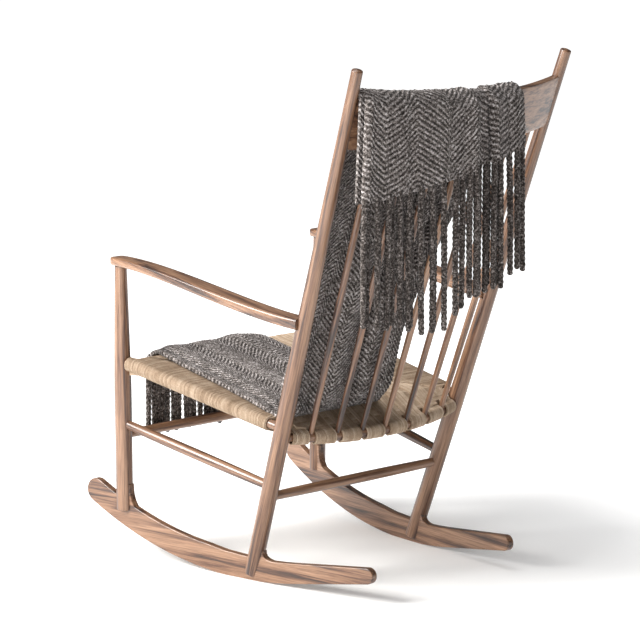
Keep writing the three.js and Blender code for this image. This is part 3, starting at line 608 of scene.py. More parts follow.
def slot_cutter(side, top):
    """The block that the rocker's thickness takes out of a leg's foot."""
    run = (SLOT_REAR - SLOT_FRONT).normalized()
    along = Vector((side * run.x, run.y, 0.0))
    across = Vector((side * run.y, -run.x, 0.0))
    bm = bmesh.new()
    bmesh.ops.create_cube(bm, size=1.0)
    tall = Vector((0.0, 0.0, top + SLOT_SPARE + SLOT_BELOW))
    basis = Matrix((across * SLOT_WIDTH, along * SLOT_LENGTH, tall)).transposed()
    middle = spot(side * SLOT_FRONT.x, SLOT_FRONT.y, (top + SLOT_SPARE - SLOT_BELOW) / 2)
    centre = middle + along * SLOT_START
    for vert in bm.verts:
        vert.co = basis @ vert.co + centre
    bmesh.ops.recalc_face_normals(bm, faces=bm.faces)
    return put_mesh("slot_cutter", bm)


def cut(bm, cutter):
    """The same solid with the cutter's volume taken away."""
    blank = put_mesh("uncut", bm)
    saw = blank.modifiers.new("saw", "BOOLEAN")
    saw.operation = "DIFFERENCE"
    saw.solver = "EXACT"
    saw.object = cutter
    graph = bpy.context.evaluated_depsgraph_get()
    result = bmesh.new()
    result.from_object(blank, graph)
    for spare in (blank, cutter):
        bpy.data.objects.remove(spare)
    return result


def upright(name, node, line, side, heights, thick, crown, lug, move):
    """A post or leg; crown gives its last marks, measured from its top."""
    foot, top = (line(side, height) for height in heights)
    length, base = (top - foot).length, thick(heights[0])
    marks = [(0.0, base - 0.0018), (0.0006, base - 0.0008), (0.0020, base)]
    plain = length - (DOME if crown is POST_CROWN else 0.0)
    steps = 24 if crown is POST_CROWN else 18
    for step in range(1, steps + 1):
        far = plain * step / steps
        marks.append((far, thick(mix(*heights, far / length))))
    marks += [(length + beyond, radius) for beyond, radius in crown]
    bm = bmesh.new()
    turned(bm, foot, top, marks)
    bm = cut(bm, slot_cutter(side, lug))
    return wooden(name, bm, walnut(name, top - foot, move * side), node)


for word, side in SIDES:
    post = upright(
        f"post_{word}", f"rear_post_{word}", on_post, side, (POST_FOOT[2], POST_TOP[2]),
        post_radius, POST_CROWN, LUG_REAR_TOP, 0.3,
    )
    leg = upright(
        f"leg_{word}", f"front_leg_{word}", on_leg, side, (LEG_FOOT[2], LEG_TOP[2]),
        leg_radius, LEG_CROWN, LUG_FRONT_TOP, 0.11,
    )
    print(post.name, leg.name)

# %% [markdown]
# The stretchers and rails are thin round sticks, thickest at their middle, whose ends go into
# holes bored in the legs. Each piece runs on into its hole, so that no gap shows at the joint.

# %% Stretchers and the straight seat rails
HOLE_DEPTH = 0.014
SIDE_RAIL_FRONT, SIDE_RAIL_REAR = 0.4095, 0.329
FRONT_RAIL_Z = 0.391


def swelling(length, end, middle, start_cut, stop_cut):
    """Marks of a round member that is thickest at its middle."""
    marks = []
    for step in range(21):
        share = step / 20
        swell = math.sin(math.pi * share) ** 0.8 if 0 < step < 20 else 0.0
        marks.append((mix(start_cut, length - stop_cut, share), mix(end, middle, swell)))
    return marks


def make_member(name, start, end, start_radius, end_radius, end_size, middle_size, node):
    length = (end - start).length
    start_cut, end_cut = start_radius - HOLE_DEPTH, end_radius - HOLE_DEPTH
    bm = bmesh.new()
    turned(bm, start, end, swelling(length, end_size, middle_size, start_cut, end_cut), 28)
    crosswise = abs((end - start).x) > 0.3
    return wooden(name, bm, walnut("cross" if crosswise else name, end - start, length), node)


for word, side in SIDES:
    for label, front, rear, end_size, middle_size, node in (
        ("lower_stretcher", 0.279, 0.204, 0.0089, 0.0109, "side_stretcher"),
        ("side_rail", SIDE_RAIL_FRONT, SIDE_RAIL_REAR, 0.0086, 0.0108, "seat_side_rail"),
    ):
        piece = make_member(
            f"{label}_{word}", on_leg(side, front), on_post(side, rear),
            leg_radius(front), post_radius(rear), end_size, middle_size, f"{node}_{word}",
        )
        print(piece.name)
for label, height, node, line, radius in (
    ("front_lower_stretcher", 0.254, "front_stretcher", on_leg, leg_radius),
    ("front_rail", FRONT_RAIL_Z, "seat_front_rail", on_leg, leg_radius),
    ("rear_lower_stretcher", 0.181, "rear_stretcher", on_post, post_radius),
):
    piece = make_member(
        label, line(-1, height), line(1, height), radius(height), radius(height),
        0.0088, 0.0107, node,
    )
    print(piece.name)

# %% [markdown]
# The rail at the seat and the crest at the top both bow to the rear, square to the rake of the
# posts, so that the spindles between them make one hollow for the sitter's back. The rail is the
# same round sweep, this time along a curve.

# %% Bowed back rail
RAKE_UP = (spot(0, *POST_TOP[1:]) - spot(0, *POST_FOOT[1:])).normalized()
RAKE_OUT = Vector((0.0, RAKE_UP.z, -RAKE_UP.y))
RAIL_HEIGHT, RAIL_BOW = 0.311, 0.042


def back_rail_at(x):
    base = on_post(1, RAIL_HEIGHT)
    bulge = RAIL_BOW * (1 - (x / base.x) ** 2)
    return Vector((x, base.y, base.z)) + RAKE_OUT * bulge


def back_rail_tangent(x):
    return (back_rail_at(x + 0.001) - back_rail_at(x - 0.001)).normalized()


reach = on_post(1, RAIL_HEIGHT).x - post_radius(RAIL_HEIGHT) + HOLE_DEPTH
stations = []
for step in range(41):
    x = mix(-reach, reach, step / 40)
    radius = mix(0.0084, 0.0104, min(1.0, (reach - abs(x)) / 0.05))
    stations.append(carry(back_rail_at(x), back_rail_tangent(x), RAKE_UP, radius))
bm = bmesh.new()
sweep(bm, stations, 28)
print(wooden("back_rail", bm, walnut("cross", (1, 0, 0)), "seat_back_rail").name)

# %% [markdown]
# The crest is a wide thin board, bent like the rail, whose ends run into the posts. A ring of
# high power is nearly a rectangle with small round corners, so the same sweep makes it too.

# %% Crest board
CREST_POWER = 9.0
CREST_LOW, CREST_HIGH = 0.910, 1.012
CREST_RISE = (CREST_HIGH - CREST_LOW) / RAKE_UP.z
CREST_SETBACK, CREST_BOW, CREST_HALF = 0.002, 0.047, 0.008
crest_foot = on_post(1, CREST_LOW)
crest_origin = Vector((0.0, crest_foot.y, CREST_LOW))


def crest_bulge(x):
    return CREST_SETBACK + CREST_BOW * (1 - (x / crest_foot.x) ** 2)


def crest_at(x, up, out=0.0):
    """A place on the crest's middle surface: how far up it, and how far behind it."""
    return crest_origin + Vector((x, 0, 0)) + RAKE_UP * up + RAKE_OUT * (crest_bulge(x) + out)


stations = []
reach = crest_foot.x - 0.004
for step in range(57):
    x = mix(-reach, reach, step / 56)
    tangent = (crest_at(x + 0.001, 0) - crest_at(x - 0.001, 0)).normalized()
    out = RAKE_UP.cross(tangent).normalized()
    half_rise = CREST_RISE / 2
    centre = crest_at(x, half_rise)
    stations.append((centre, out, RAKE_UP, CREST_HALF, half_rise, CREST_POWER))
bm = bmesh.new()
sweep(bm, stations, 64)
print(wooden("crest_board", bm, walnut("cross", (1, 0, 0)), "crest_rail").name)

# %% [markdown]
# Seven spindles stand between the rail and the crest. They spread a little towards the top, so
# their feet and heads have different pitches, counted from the middle one.

# %% Seven spindles
SPINDLE_PLACES = [4 - number for number in range(1, 8)]
FOOT_PITCH, HEAD_PITCH = 0.062, 0.0725


def make_spindle(number):
    place = SPINDLE_PLACES[number - 1]
    foot = back_rail_at(place * FOOT_PITCH)
    head = crest_at(place * HEAD_PITCH, 0.0)
    length = (head - foot).length
    bm = bmesh.new()
    turned(bm, foot, head, swelling(length, 0.0053, 0.0069, -0.005, -0.016), 20)
    grain = walnut("spindle", (0.0, 0.36, 0.93))
    return wooden(f"back_spindle_{number}", bm, grain, f"spindle_{number}")


print([make_spindle(number).name for number in range(1, 8)])

# %% [markdown]
# Each rocker is sawn from a board on edge, with two lugs that stand inside the leg feet and run
# down into the board in a hollow curve. The CAD outline is exact already and lacks only a softened
# edge, so a copy is merged, its flat faces are joined up, and a Bevel modifier eases the edge.

# %% Rockers
ROCKER_EASE = 0.0022
FLAT = math.radians(0.4)


def make_rocker(side, word):
    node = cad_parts[f"rocker_{word}"]
    bm = bmesh.new()
    bm.from_mesh(node.data)
    bmesh.ops.remove_doubles(bm, verts=bm.verts, dist=1e-6)
    bmesh.ops.dissolve_limit(bm, angle_limit=FLAT, verts=bm.verts, edges=bm.edges)
    grain = walnut(f"rocker_{word}", (side * -0.0415, 0.3395, 0.0), 0.2 * side)
    piece = wooden(f"rocker_runner_{word}", bm, grain, f"rocker_{word}")
    ease = piece.modifiers.new("ease", "BEVEL")
    ease.width = ROCKER_EASE
    ease.segments = 3
    ease.limit_method = "ANGLE"
    ease.angle_limit = math.radians(50.0)
    ease.harden_normals = True
    return piece


for word, side in SIDES:
    print(make_rocker(side, word).name)

# %% [markdown]
# The armrest sits on the front leg and is pegged into the rear post. It is a shallow S from the
# side and bows outwards from above. Its edges are rounded over by hand, so a ring of power 5 fits
# it, narrowing to a nose. A cutter a hair wider than the post hollows the rear end.

# %% Armrests
ARM_REAR = 0.540
ARM_FRONT_THICK, ARM_REAR_THICK = 0.0170, 0.0235
ARM_NARROW, ARM_WIDE, ARM_BOW, ARM_POWER = 0.042, 0.048, 0.008, 5.0
NOSE = 0.021
NOSE_STEPS = (0.0209, 0.0200, 0.0183, 0.0155, 0.012, 0.007)


def arm_spine(share):
    """Underside of the arm in the side view, from its nose to the rear post."""
    start = Vector((LEG_Y - 2 * NOSE, 0.6096))
    stop = Vector((on_post(1, ARM_REAR + ARM_REAR_THICK / 2).y - SHIFT - 0.005, ARM_REAR))
    reach, drop = stop.x - start.x, start.y - stop.y
    pull = Vector((start.x + reach * 0.32, start.y - drop * 0.08 + 0.012))
    push = Vector((stop.x - reach * 0.28, stop.y + drop * 0.22 - 0.006))
    a, b = 1 - share, share
    return start * a ** 3 + pull * 3 * a * a * b + push * 3 * a * b * b + stop * b ** 3


def arm_station(side, share):
    middle = arm_spine(share)
    thick = mix(ARM_FRONT_THICK, ARM_REAR_THICK, share)
    rear = on_post(1, ARM_REAR + ARM_REAR_THICK / 2)
    rear_y = rear.y - SHIFT
    t = (middle.x - LEG_Y) / (rear_y - LEG_Y)
    bow = ARM_BOW * math.sin(math.pi * min(max(t, 0.0), 1.0))
    line_x = mix(LEG_TOP[0], rear.x, t) + bow
    if t < 0:
        width = ARM_NARROW * math.sqrt(max(0.0, 1 - (t * (rear_y - LEG_Y) / NOSE) ** 2))
    elif t < 0.6:
        width = mix(ARM_NARROW, ARM_WIDE, math.sin(t / 0.6 * math.pi / 2))
    else:
        width = mix(ARM_WIDE, ARM_NARROW, (t - 0.6) / 0.4)
    ahead = arm_spine(min(1.0, share + 0.01)) - arm_spine(max(0.0, share - 0.01))
    up = Vector((0.0, -ahead.y, ahead.x)).normalized()
    centre = spot(side * line_x, middle.x, middle.y) + up * (thick / 2)
    return centre, up, width / 2, thick / 2


def share_at(y):
    """How far along its spine the arm reaches a place, found by halving."""
    low, high = 0.0, 1.0
    for _ in range(30):
        middle = (low + high) / 2
        low, high = (middle, high) if arm_spine(middle).x < y else (low, middle)
    return low


def post_cutter(side):
    bm = bmesh.new()
    low, high = 0.47, 0.64
    start, end = on_post(side, low), on_post(side, high)
    ends = [(0.0, post_radius(low) + 0.0003), ((end - start).length, post_radius(high) + 0.0003)]
    turned(bm, start, end, ends)
    bmesh.ops.recalc_face_normals(bm, faces=bm.faces)
    return put_mesh("post_cutter", bm)


def make_arm(side, word):
    shares = [share_at(LEG_Y - back) for back in NOSE_STEPS]
    shares += [mix(shares[-1], 1.0, step / 40) for step in range(1, 41)]
    stations = []
    for share in shares:
        centre, up, half_width, half_thick = arm_station(side, share)
        half_thick *= min(1.0, 0.55 + half_width / 0.04)
        stations.append((centre, Vector((1, 0, 0)), up, half_width, half_thick, ARM_POWER))
    bm = bmesh.new()
    sweep(bm, stations, 48)
    bm = cut(bm, post_cutter(side))
    grain = walnut(f"arm_{word}", (0.0, 0.97, -0.2), 0.5 * side)
    return wooden(f"arm_{word}", bm, grain, f"armrest_{word}")


for word, side in SIDES:
    print(make_arm(side, word).name)

# %% [markdown]
# The seat is wound in the envelope pattern. Cord passes over a rail, runs square to it as far as
# the diagonal, and comes back underneath, so the top shows four fields that meet on the
# diagonals. First come the heights that the cord follows.

# %% Heights of the seat
STRAND = 0.00172
CORD_TOP, RAIL_TOP, SEAT_THICK = 0.0142, 0.0137, 0.024
WRAP = CORD_TOP - 0.0004
seat_front, seat_rear = on_leg(1, SIDE_RAIL_FRONT), on_post(1, SIDE_RAIL_REAR)
seat_run = Vector((0.0, seat_rear.y - seat_front.y, seat_rear.z - seat_front.z)).normalized()
SEAT_SLOPE = seat_run.z / seat_run.y


def seat_plane(y):
    return seat_front.z + (y - seat_front.y) * SEAT_SLOPE + CORD_TOP / seat_run.y


def through(pairs, value):
    """Straight lines between (place, height) pairs."""
    for (a, low), (b, high) in zip(pairs, pairs[1:]):
        if value <= b:
            return mix(low, high, (value - a) / (b - a))
    return pairs[-1][1]


rail_middle = back_rail_at(0.0)


def seat_line(after_front, before_back, rail, drop):
    """Heights from rail to rail, flat between two places that lie in from the rails."""
    near, far = seat_front.y + after_front, rail_middle.y - before_back
    return [
        (seat_front.y, FRONT_RAIL_Z + rail), (near, seat_plane(near) - drop),
        (far, seat_plane(far) - drop), (rail_middle.y, rail_middle.z + rail),
    ]


TOP_LINE = seat_line(0.040, 0.062, RAIL_TOP, 0.0)
UNDER_LINE = seat_line(0.070, 0.100, -RAIL_TOP, SEAT_THICK)
print("seat slopes", round(math.degrees(math.atan(SEAT_SLOPE)), 1), "degrees")

# %% [markdown]
# Each turn is one line through a few kinds of place. Real cord never lies quite even, so chance
# lifts or sinks each place a little. Turns at the back leave room for the spindles' feet.

# %% Turns of cord
FIRST_TURN, LEAST_REACH = 0.0225, 0.018
chance = random.Random(7)


def on_top(x, y):
    return Vector((x, y, through(TOP_LINE, y) + chance.uniform(-0.0003, 0.0004)))


def under(x, y):
    return Vector((x, y, through(UNDER_LINE, y) + chance.uniform(-0.0004, 0.0002)))


def wind(rail, out, inner, bends):
    """One turn of cord: in from the diagonal, round the rail, and back underneath."""
    up = Vector((0.0, -SEAT_SLOPE, 1.0)).normalized()
    up = (up - out * up.dot(out)).normalized()
    tops = [on_top(*bend) for bend in bends]
    unders = [under(*bend) for bend in reversed(bends)]
    inner_top, inner_under = on_top(*inner), under(*inner)
    points = [inner_top - Vector((0, 0, 0.004)), inner_top, *tops]
    for angle in (90, 60, 30, 0, -30, -60, -90):
        turn = math.radians(angle)
        points.append(rail + (out * math.cos(turn) + up * math.sin(turn)) * WRAP)
    return points + [*unders, inner_under, inner_under + Vector((0, 0, 0.004))]


def side_strands(side):
    start, end = on_leg(side, SIDE_RAIL_FRONT), on_post(side, SIDE_RAIL_REAR)
    length = (end - start).length
    out = Vector((side * 1.0, 0.0, 0.0))
    lines = []
    far = FIRST_TURN
    while far < length - 0.0365:
        rail = start + (end - start) * (far / length)
        depth = min(rail.y - seat_front.y, rail_middle.y - 0.016 - rail.y)
        inner = side * (abs(rail.x) - max(LEAST_REACH, depth))
        near = rail.x - side * 0.016
        bends = [(mix(inner, near, 0.5), rail.y), (near, rail.y)]
        lines.append(wind(rail, out, (inner, rail.y), bends))
        far += PITCH
    return lines


def front_strands():
    lines = []
    reach = seat_front.x - FIRST_TURN
    steps = int(2 * reach / PITCH)
    for step in range(steps + 1):
        x = mix(-reach, reach, step / steps)
        depth = max(LEAST_REACH, min(seat_front.x - abs(x), 0.2))
        inner = seat_front.y + depth
        rail = Vector((x, seat_front.y, FRONT_RAIL_Z))
        bends = [seat_front.y + far for far in (0.11, 0.07, 0.04)]
        bends = [(x, y) for y in bends if y < inner]
        lines.append(wind(rail, Vector((0.0, -1.0, 0.0)), (x, inner), bends))
    return lines


def back_strands():
    lines = []
    reach = seat_rear.x - FIRST_TURN
    steps = int(2 * reach / PITCH)
    feet = [place * FOOT_PITCH for place in SPINDLE_PLACES]
    for step in range(steps + 1):
        x = mix(-reach, reach, step / steps)
        if min(abs(x - foot) for foot in feet) < 0.006 + STRAND * 0.8:
            continue
        rail = back_rail_at(x)
        tangent = back_rail_tangent(x)
        out = Vector((-tangent.y, tangent.x, 0.0)).normalized()
        inner = rail.y - max(LEAST_REACH, min(seat_rear.x - 0.004 - abs(x), 0.22))
        bends = [rail_middle.y - far for far in (0.15, 0.1, 0.062)]
        bends = [(x, y) for y in bends if inner < y < rail.y - 0.01]
        lines.append(wind(rail, out, (x, inner), bends))
    return lines


print("cord runs", round(WRAP * 1000, 1), "mm from the rails' middles")

# %% [markdown]
# A curve with a round bevel is the short way to many equal strands, so each field is one curve of
# many splines, made into a mesh. Between the two layers lies padding, a drawn-in copy of the CAD
# solid, so that nothing shows through the gaps.

# %% Four fields of cord and their padding
PADDING_IN = 0.0016


def lay_cord(name, lines, finish):
    curve = bpy.data.curves.new(name, "CURVE")
    curve.dimensions = "3D"
    curve.bevel_depth = STRAND
    curve.bevel_resolution = 1
    curve.use_fill_caps = True
    for points in lines:
        spline = curve.splines.new("POLY")
        spline.points.add(len(points) - 1)
        for knot, point in zip(spline.points, points):
            knot.co = (*point, 1.0)
    guide = put(f"{name}_line", curve)
    graph = bpy.context.evaluated_depsgraph_get()
    data = bpy.data.meshes.new_from_object(guide.evaluated_get(graph))
    bpy.data.objects.remove(guide)
    data.name = name
    data.materials.clear()
    data.materials.append(finish)
    data.shade_smooth()
    piece = put(name, data)
    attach(piece, "chair")
    return piece


strands = {
    "cord_left": (side_strands(1), cord_across),
    "cord_right": (side_strands(-1), cord_across),
    "cord_front": (front_strands(), cord_lengthwise),
    "cord_back": (back_strands(), cord_lengthwise),
}
for name, (lines, finish) in strands.items():
    piece = lay_cord(name, lines, finish)
    print(name, len(lines), "turns", len(piece.data.polygons), "faces")

bm = bmesh.new()
bm.from_mesh(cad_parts["woven_seat"].data)
bmesh.ops.remove_doubles(bm, verts=bm.verts, dist=1e-6)
bmesh.ops.recalc_face_normals(bm, faces=bm.faces)
bm.normal_update()
for vert in bm.verts:
    vert.co -= vert.normal * PADDING_IN
padding = finished("seat_padding", bm, cord_across, "chair", ["woven_seat"])
print(padding.name)

# %% [markdown]
# The throw is one sheet. It goes from the hem behind the crest up and over the top, down the
# spindles into the corner of the seat, and forward to a hem just past the front rail. Each thread
# along it is a smooth line through a few chosen places. A cloth simulation would settle such a
# heavy, pleated piece too flat, so the folds are listed in tables.

# %% Lines of the throw
CLOTH_THICK = 0.008
CLOTH_WIDTH = 0.46
CLEAR = 0.0060
FAR_LEFT = 0.277
# across the crest: share of the width, place along the chair, stand-off from the board
CREST_PROFILE = [
    (0.0, 0.283, 0.001), (0.04, 0.269, 0.0005), (0.056, 0.268, 0.0015),
    (0.072, 0.2735, 0.01), (0.095, 0.264, 0.015), (0.28, 0.185, 0.01),
    (0.48, 0.098, 0.015), (0.6, 0.056, 0.013), (0.67, 0.029, 0.02),
    (0.688, 0.0215, 0.018), (0.704, 0.031, 0.008), (0.722, 0.026, 0.0005),
    (0.765, 0.002, 0.0), (0.8, -0.022, 0.001), (0.815, -0.019, 0.01),
    (0.835, -0.028, 0.016), (0.9, -0.064, 0.009), (0.95, -0.092, 0.012),
    (1.0, -0.12, 0.005),
]


def along(rows, column, value):
    """A smooth reading of one column of a table, by its first column."""
    for low, high in zip(rows, rows[1:]):
        if value <= high[0]:
            return mix(low[column], high[column], eased(low[0], high[0], value))
    return rows[-1][column]


def eased(low, high, value):
    share = min(1.0, max(0.0, (value - low) / (high - low)))
    return share * share * (3 - 2 * share)


def hem_height(x):
    """The back hem climbs from the left post towards the right."""
    inwards = FAR_LEFT - x
    return 0.809 + 0.14 * inwards + 0.18 * inwards * inwards


def spindle_surface(x, z, out):
    """A place at height z, out behind the hollow that the spindles make (minus is in front)."""
    share = (z - RAIL_HEIGHT) / (CREST_LOW - RAIL_HEIGHT)
    rail = RAIL_BOW * (1 - (x / 0.249) ** 2)
    bulge = mix(rail, crest_bulge(x), share)
    up = (z - crest_origin.z) / RAKE_UP.z
    base = crest_origin + Vector((x, 0, 0)) + RAKE_UP * up
    return base + RAKE_OUT * (bulge + out)


# edges of the front drop: height and place along the chair
LEFT_EDGE = [(0.33, 0.236), (0.39, 0.238), (0.51, 0.243), (0.75, 0.258), (1.02, 0.268)]
RIGHT_EDGE = [
    (0.33, -0.034), (0.39, -0.022), (0.51, -0.006), (0.64, -0.026), (0.80, -0.080),
    (0.95, -0.118), (1.02, -0.120),
]
# across the front drop: share of the width and how far a fold stands forward, 0 to 1
DROP_FOLDS = [
    (0.0, 0.55), (0.08, 1.0), (0.2, 0.95), (0.26, 0.15), (0.36, 0.0), (0.5, 0.12),
    (0.56, 1.1), (0.6, 1.3), (0.635, 0.2), (0.71, 0.0), (0.77, 1.0), (0.81, 1.2),
    (0.85, 0.15), (0.93, 0.05), (1.0, 0.8),
]
SEAT_FOLDS = [
    (0.0, 0.0), (0.06, 0.1), (0.072, 0.55), (0.1, 0.8), (0.16, 0.7), (0.3, 0.3),
    (0.45, 0.6), (0.6, 0.3), (0.75, 0.95), (0.88, 0.5), (1.0, 0.0),
]


# down the front drop: height, stand-off from the spindles, depth of the folds
DROP_PLACES = [
    (0.965, 0.015, 0.002), (0.90, 0.016, 0.006), (0.80, 0.016, 0.012), (0.70, 0.016, 0.018),
    (0.60, 0.017, 0.027), (0.52, 0.018, 0.034), (0.45, 0.019, 0.040), (0.395, 0.022, 0.042),
]
# forward over the seat: place, left edge, right edge, height over the cord, depth of the folds
SEAT_PLACES = [
    (0.216, 0.239, -0.03, 0.0085, 0.0), (0.16, 0.244, -0.048, 0.008, 0.012),
    (0.09, 0.236, -0.058, 0.0082, 0.014), (0.0, 0.228, -0.064, 0.0082, 0.014),
    (-0.09, 0.224, -0.068, 0.0082, 0.013), (-0.165, 0.218, -0.068, 0.0085, 0.011),
    (-0.209, 0.2, -0.066, 0.011, 0.004),
]
FRONT_HEM = [(-0.2385, 0.402), (-0.2420, 0.386)]


def over_the_crest(s):
    """From the back hem up the rear of the crest and over its top."""
    x, lift = along(CREST_PROFILE, 1, s), along(CREST_PROFILE, 2, s)
    slope = crest_at(x + 0.001, 0) - crest_at(x - 0.001, 0)
    out = Vector((-slope.y, slope.x, 0.0)).normalized()
    rear = crest_at(x, CREST_RISE, CREST_HALF)
    places = []
    for share in (0.0, 0.25, 0.5, 0.75, 0.93):
        down = 1 - share
        widen = 0.013 * down * (1 - eased(0.0, 0.5, s)) + 0.006 * down * eased(0.4, 0.68, s)
        widen -= 0.010 * down * eased(0.70, 0.86, s)
        place = Vector((x + widen, rear.y, mix(hem_height(x), rear.z, share)))
        places.append(place + out * (CLEAR + lift + 0.003 * down))
    top = crest_at(x, CREST_RISE - 0.003, 0.0)
    for turn in (32, 75, 115, 150):
        angle = math.radians(turn)
        reach = CREST_HALF + CLEAR * 0.8 + lift * (0.7 if turn < 60 else 0.3)
        rise = math.sin(angle) * (CLEAR + 0.004 + 0.22 * lift)
        places.append(top + RAKE_OUT * (math.cos(angle) * reach) + RAKE_UP * rise)
    return places


def thread(s):
    """The chosen places that one lengthwise line of the cloth goes through."""
    places = over_the_crest(s)
    for z, stand, depth in DROP_PLACES:
        x = mix(through(LEFT_EDGE, z), through(RIGHT_EDGE, z), s)
        share = s + 0.012 * math.sin(9.0 * z)
        fold = along(DROP_FOLDS, 1, min(1.0, max(0.0, share)))
        places.append(spindle_surface(x, z, -stand - depth * fold))
    ripple = along(SEAT_FOLDS, 1, s)
    for y, left, right, height, depth in SEAT_PLACES:
        place = spot(mix(left, right, s), y, 0.0)
        place.z = through(TOP_LINE, place.y) + height + depth * ripple
        places.append(place)
    for y, z in FRONT_HEM:
        places.append(spot(mix(0.194, -0.064, s), y, z))
    return places


print("threads go through", len(thread(0.5)), "places")

# %% [markdown]
# The threads are cut into equal steps, and a grid takes them as its columns. Its UV map holds the
# cloth's own width and length. The ribs stand a little proud, by the same wave that paints shade
# into their grooves, and a Solidify modifier gives the sheet its thickness.

# %% Weave the sheet from its threads
ACROSS, ALONG, FINE = 150, 310, 14
CREST_PLACE = 6
KNOB = 0.0009


def smooth_line(places, steps):
    """A Catmull-Rom line through the places, in equal steps, with its whole length and its length
    up to the crest.
    """
    fine = []
    for k in range(len(places) - 1):
        before = places[max(0, k - 1)]
        a, b = places[k], places[k + 1]
        after = places[min(len(places) - 1, k + 2)]
        for step in range(FINE):
            t = step / FINE
            fine.append(0.5 * (
                2 * a + (b - before) * t
                + (2 * before - 5 * a + 4 * b - after) * t * t
                + (3 * a - before - 3 * b + after) * t ** 3
            ))
    fine.append(places[-1])
    lengths = [0.0]
    for a, b in zip(fine, fine[1:]):
        lengths.append(lengths[-1] + (b - a).length)
    crest = lengths[CREST_PLACE * FINE]
    line, k = [], 0
    for step in range(steps + 1):
        goal = lengths[-1] * step / steps
        while k < len(lengths) - 2 and lengths[k + 1] < goal:
            k += 1
        share = (goal - lengths[k]) / max(1e-9, lengths[k + 1] - lengths[k])
        line.append(fine[k].lerp(fine[k + 1], min(1.0, share)))
    return line, lengths[-1], crest


def weave_throw():
    bm = bmesh.new()
    flat = bm.loops.layers.uv.new("cloth")
    bmesh.ops.create_grid(bm, x_segments=ACROSS, y_segments=ALONG, size=0.5)
    columns = [smooth_line(thread(k / ACROSS), ALONG) for k in range(ACROSS + 1)]
    home = {}
    for vert in bm.verts:
        k = round((vert.co.x + 0.5) * ACROSS)
        step = round((vert.co.y + 0.5) * ALONG)
        line, length, crest = columns[k]
        home[vert] = (CLOTH_WIDTH * k / ACROSS, length * step / ALONG - crest)
        vert.co = line[step]
    for face in bm.faces:
        face.smooth = True
        for loop in face.loops:
            loop[flat].uv = home[loop.vert]
    area = sum(face.calc_area() for face in bm.faces)
    bm.normal_update()
    for vert in bm.verts:
        across, far = home[vert]
        zigzag = abs((across / COLUMN + 1) % 2 - 1) * COLUMN
        rib = math.sin((far + RIB_SLOPE * zigzag + 0.003) * 2 * math.pi / RIB_PITCH)
        vert.co += vert.normal * (KNOB * rib)
    mean = sum(column[1] for column in columns) / len(columns)
    print("cloth area", round(area, 3), "m2, mean length", round(mean, 3), "m")
    return bm


cloth = finished(
    "throw_cloth", weave_throw(), wool_cloth, "throw",
    ["throw_top_fold", "throw_back_panel", "throw_front_drop", "throw_seat_run"],
)
wall = cloth.modifiers.new("wall", "SOLIDIFY")
wall.thickness = CLOTH_THICK
wall.offset = 0.0

# %% [markdown]
# Each tassel is a thick twist of two plies, knotted into the hem. It hangs plumb, sways a little
# and narrows at its cut end. Two lobes whose angle turns as the ring goes down draw the plies.

# %% One tassel
TWIST, TASSEL_STEP = 0.0115, 0.0023
BACK_THICK, FRONT_THICK = 0.0064, 0.0062


def tassel(bm, top, tip, radius, lean):
    down = tip - top
    length = down.length
    steps = int(length / TASSEL_STEP)
    _, side, cross, *_ = carry(top, down.normalized(), Vector((1.0, 0.0, 0.0)), radius)
    stations = []
    start = chance.uniform(0.0, 6.3)
    for step in range(steps + 1):
        share = step / steps
        centre = top + down * share + side * (lean * math.sin(math.pi * share))
        size = radius * (0.9 + 0.1 * math.sin(math.pi * min(1.0, share * 1.5)))
        size *= {0: 0.7, steps - 1: 0.86, steps: 0.5}.get(step, 1.0)
        turn = start + share * length / TWIST * 2 * math.pi
        stations.append((centre, side, cross, size, size, 2.0, 2, turn))
    own = bmesh.new()
    sweep(own, stations, 10)
    data = bpy.data.meshes.new("one_tassel")
    own.to_mesh(data)
    own.free()
    bm.from_mesh(data)
    bpy.data.meshes.remove(data)


print("a tassel's rings are", TASSEL_STEP, "m apart")

# %% [markdown]
# The back tassels bunch where the cloth is pleated, so their places are a list, with a second row
# inside the pleats. `TIPS` gives the height at which they end, by place. The front hem is even.

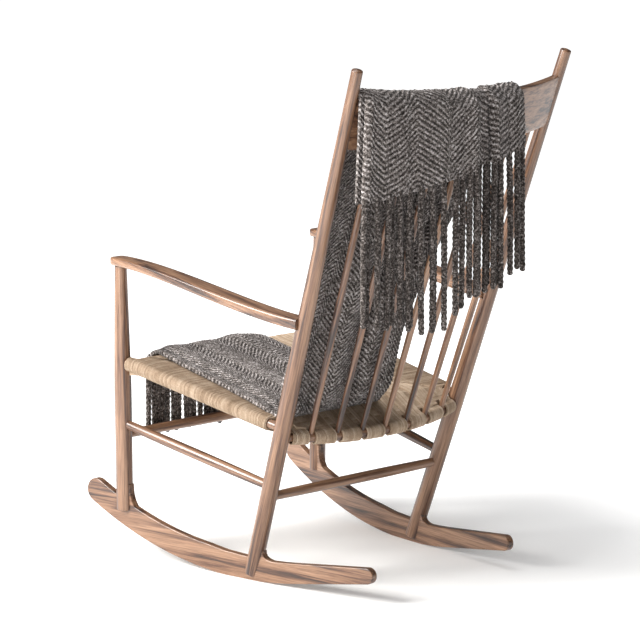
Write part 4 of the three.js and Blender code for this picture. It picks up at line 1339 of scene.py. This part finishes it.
# %% Tassels of both hems
# where each back tassel hangs along the chair
OUTER_ROW = [
    0.288, 0.264, 0.236, 0.212, 0.189, 0.165, 0.139, 0.113, 0.08, 0.063,
    0.047, 0.033, 0.006, -0.013, -0.025, -0.04, -0.072, -0.095, -0.114,
]
INNER_ROW = [0.277, 0.25, 0.224, 0.201, 0.177, 0.152, 0.126, -0.019, -0.0320]
TIPS = [
    (-0.120, 0.642), (-0.095, 0.643), (-0.072, 0.638), (-0.040, 0.617), (-0.013, 0.612),
    (0.006, 0.608), (0.047, 0.603), (0.064, 0.584), (0.082, 0.577), (0.105, 0.545),
    (0.160, 0.548), (0.200, 0.560), (0.290, 0.573),
]
FRONT_COUNT, FRONT_LEFT, FRONT_RIGHT = 21, 0.187, -0.060
FRONT_TOP, FRONT_LONG = (-0.2415, 0.402), 0.163
hems = [thread(k / 200)[0] for k in range(201)]


def hem_at(x):
    """The place on the hem that is nearest to a place along the chair."""
    return min(hems, key=lambda place: abs(place.x - x) - 0.2 * place.y)


def back_tassels():
    bm = bmesh.new()
    for row, back in ((OUTER_ROW, 0.0), (INNER_ROW, -0.010)):
        for x in row:
            hem = hem_at(x)
            top = Vector((x, hem.y + back, hem.z + 0.010))
            low = through(TIPS, x) + chance.uniform(-0.004, 0.004) + (0.006 if back else 0.0)
            aside, behind = chance.uniform(-0.004, 0.004), chance.uniform(-0.003, 0.003)
            tip = Vector((x + aside, top.y + behind, low))
            tassel(bm, top, tip, BACK_THICK, chance.uniform(-0.002, 0.002))
    soften(bm)
    return finished("tassels_back", bm, wool_tassel, "throw", ["throw_back_fringe"])


def front_tassels():
    bm = bmesh.new()
    for k in range(FRONT_COUNT):
        share = k / (FRONT_COUNT - 1)
        x = mix(FRONT_LEFT, FRONT_RIGHT, share) + chance.uniform(-0.004, 0.004)
        top = spot(x, *FRONT_TOP)
        aside, behind = chance.uniform(-0.004, 0.004), chance.uniform(-0.002, 0.002)
        low = -FRONT_LONG + chance.uniform(-0.008, 0.008)
        tip = top + Vector((aside, behind, low))
        tassel(bm, top, tip, FRONT_THICK, chance.uniform(-0.002, 0.002))
    soften(bm)
    return finished("tassels_front", bm, wool_tassel, "throw", ["throw_front_fringe"])


fringes = [back_tassels(), front_tassels()]
print([piece.name for piece in fringes])
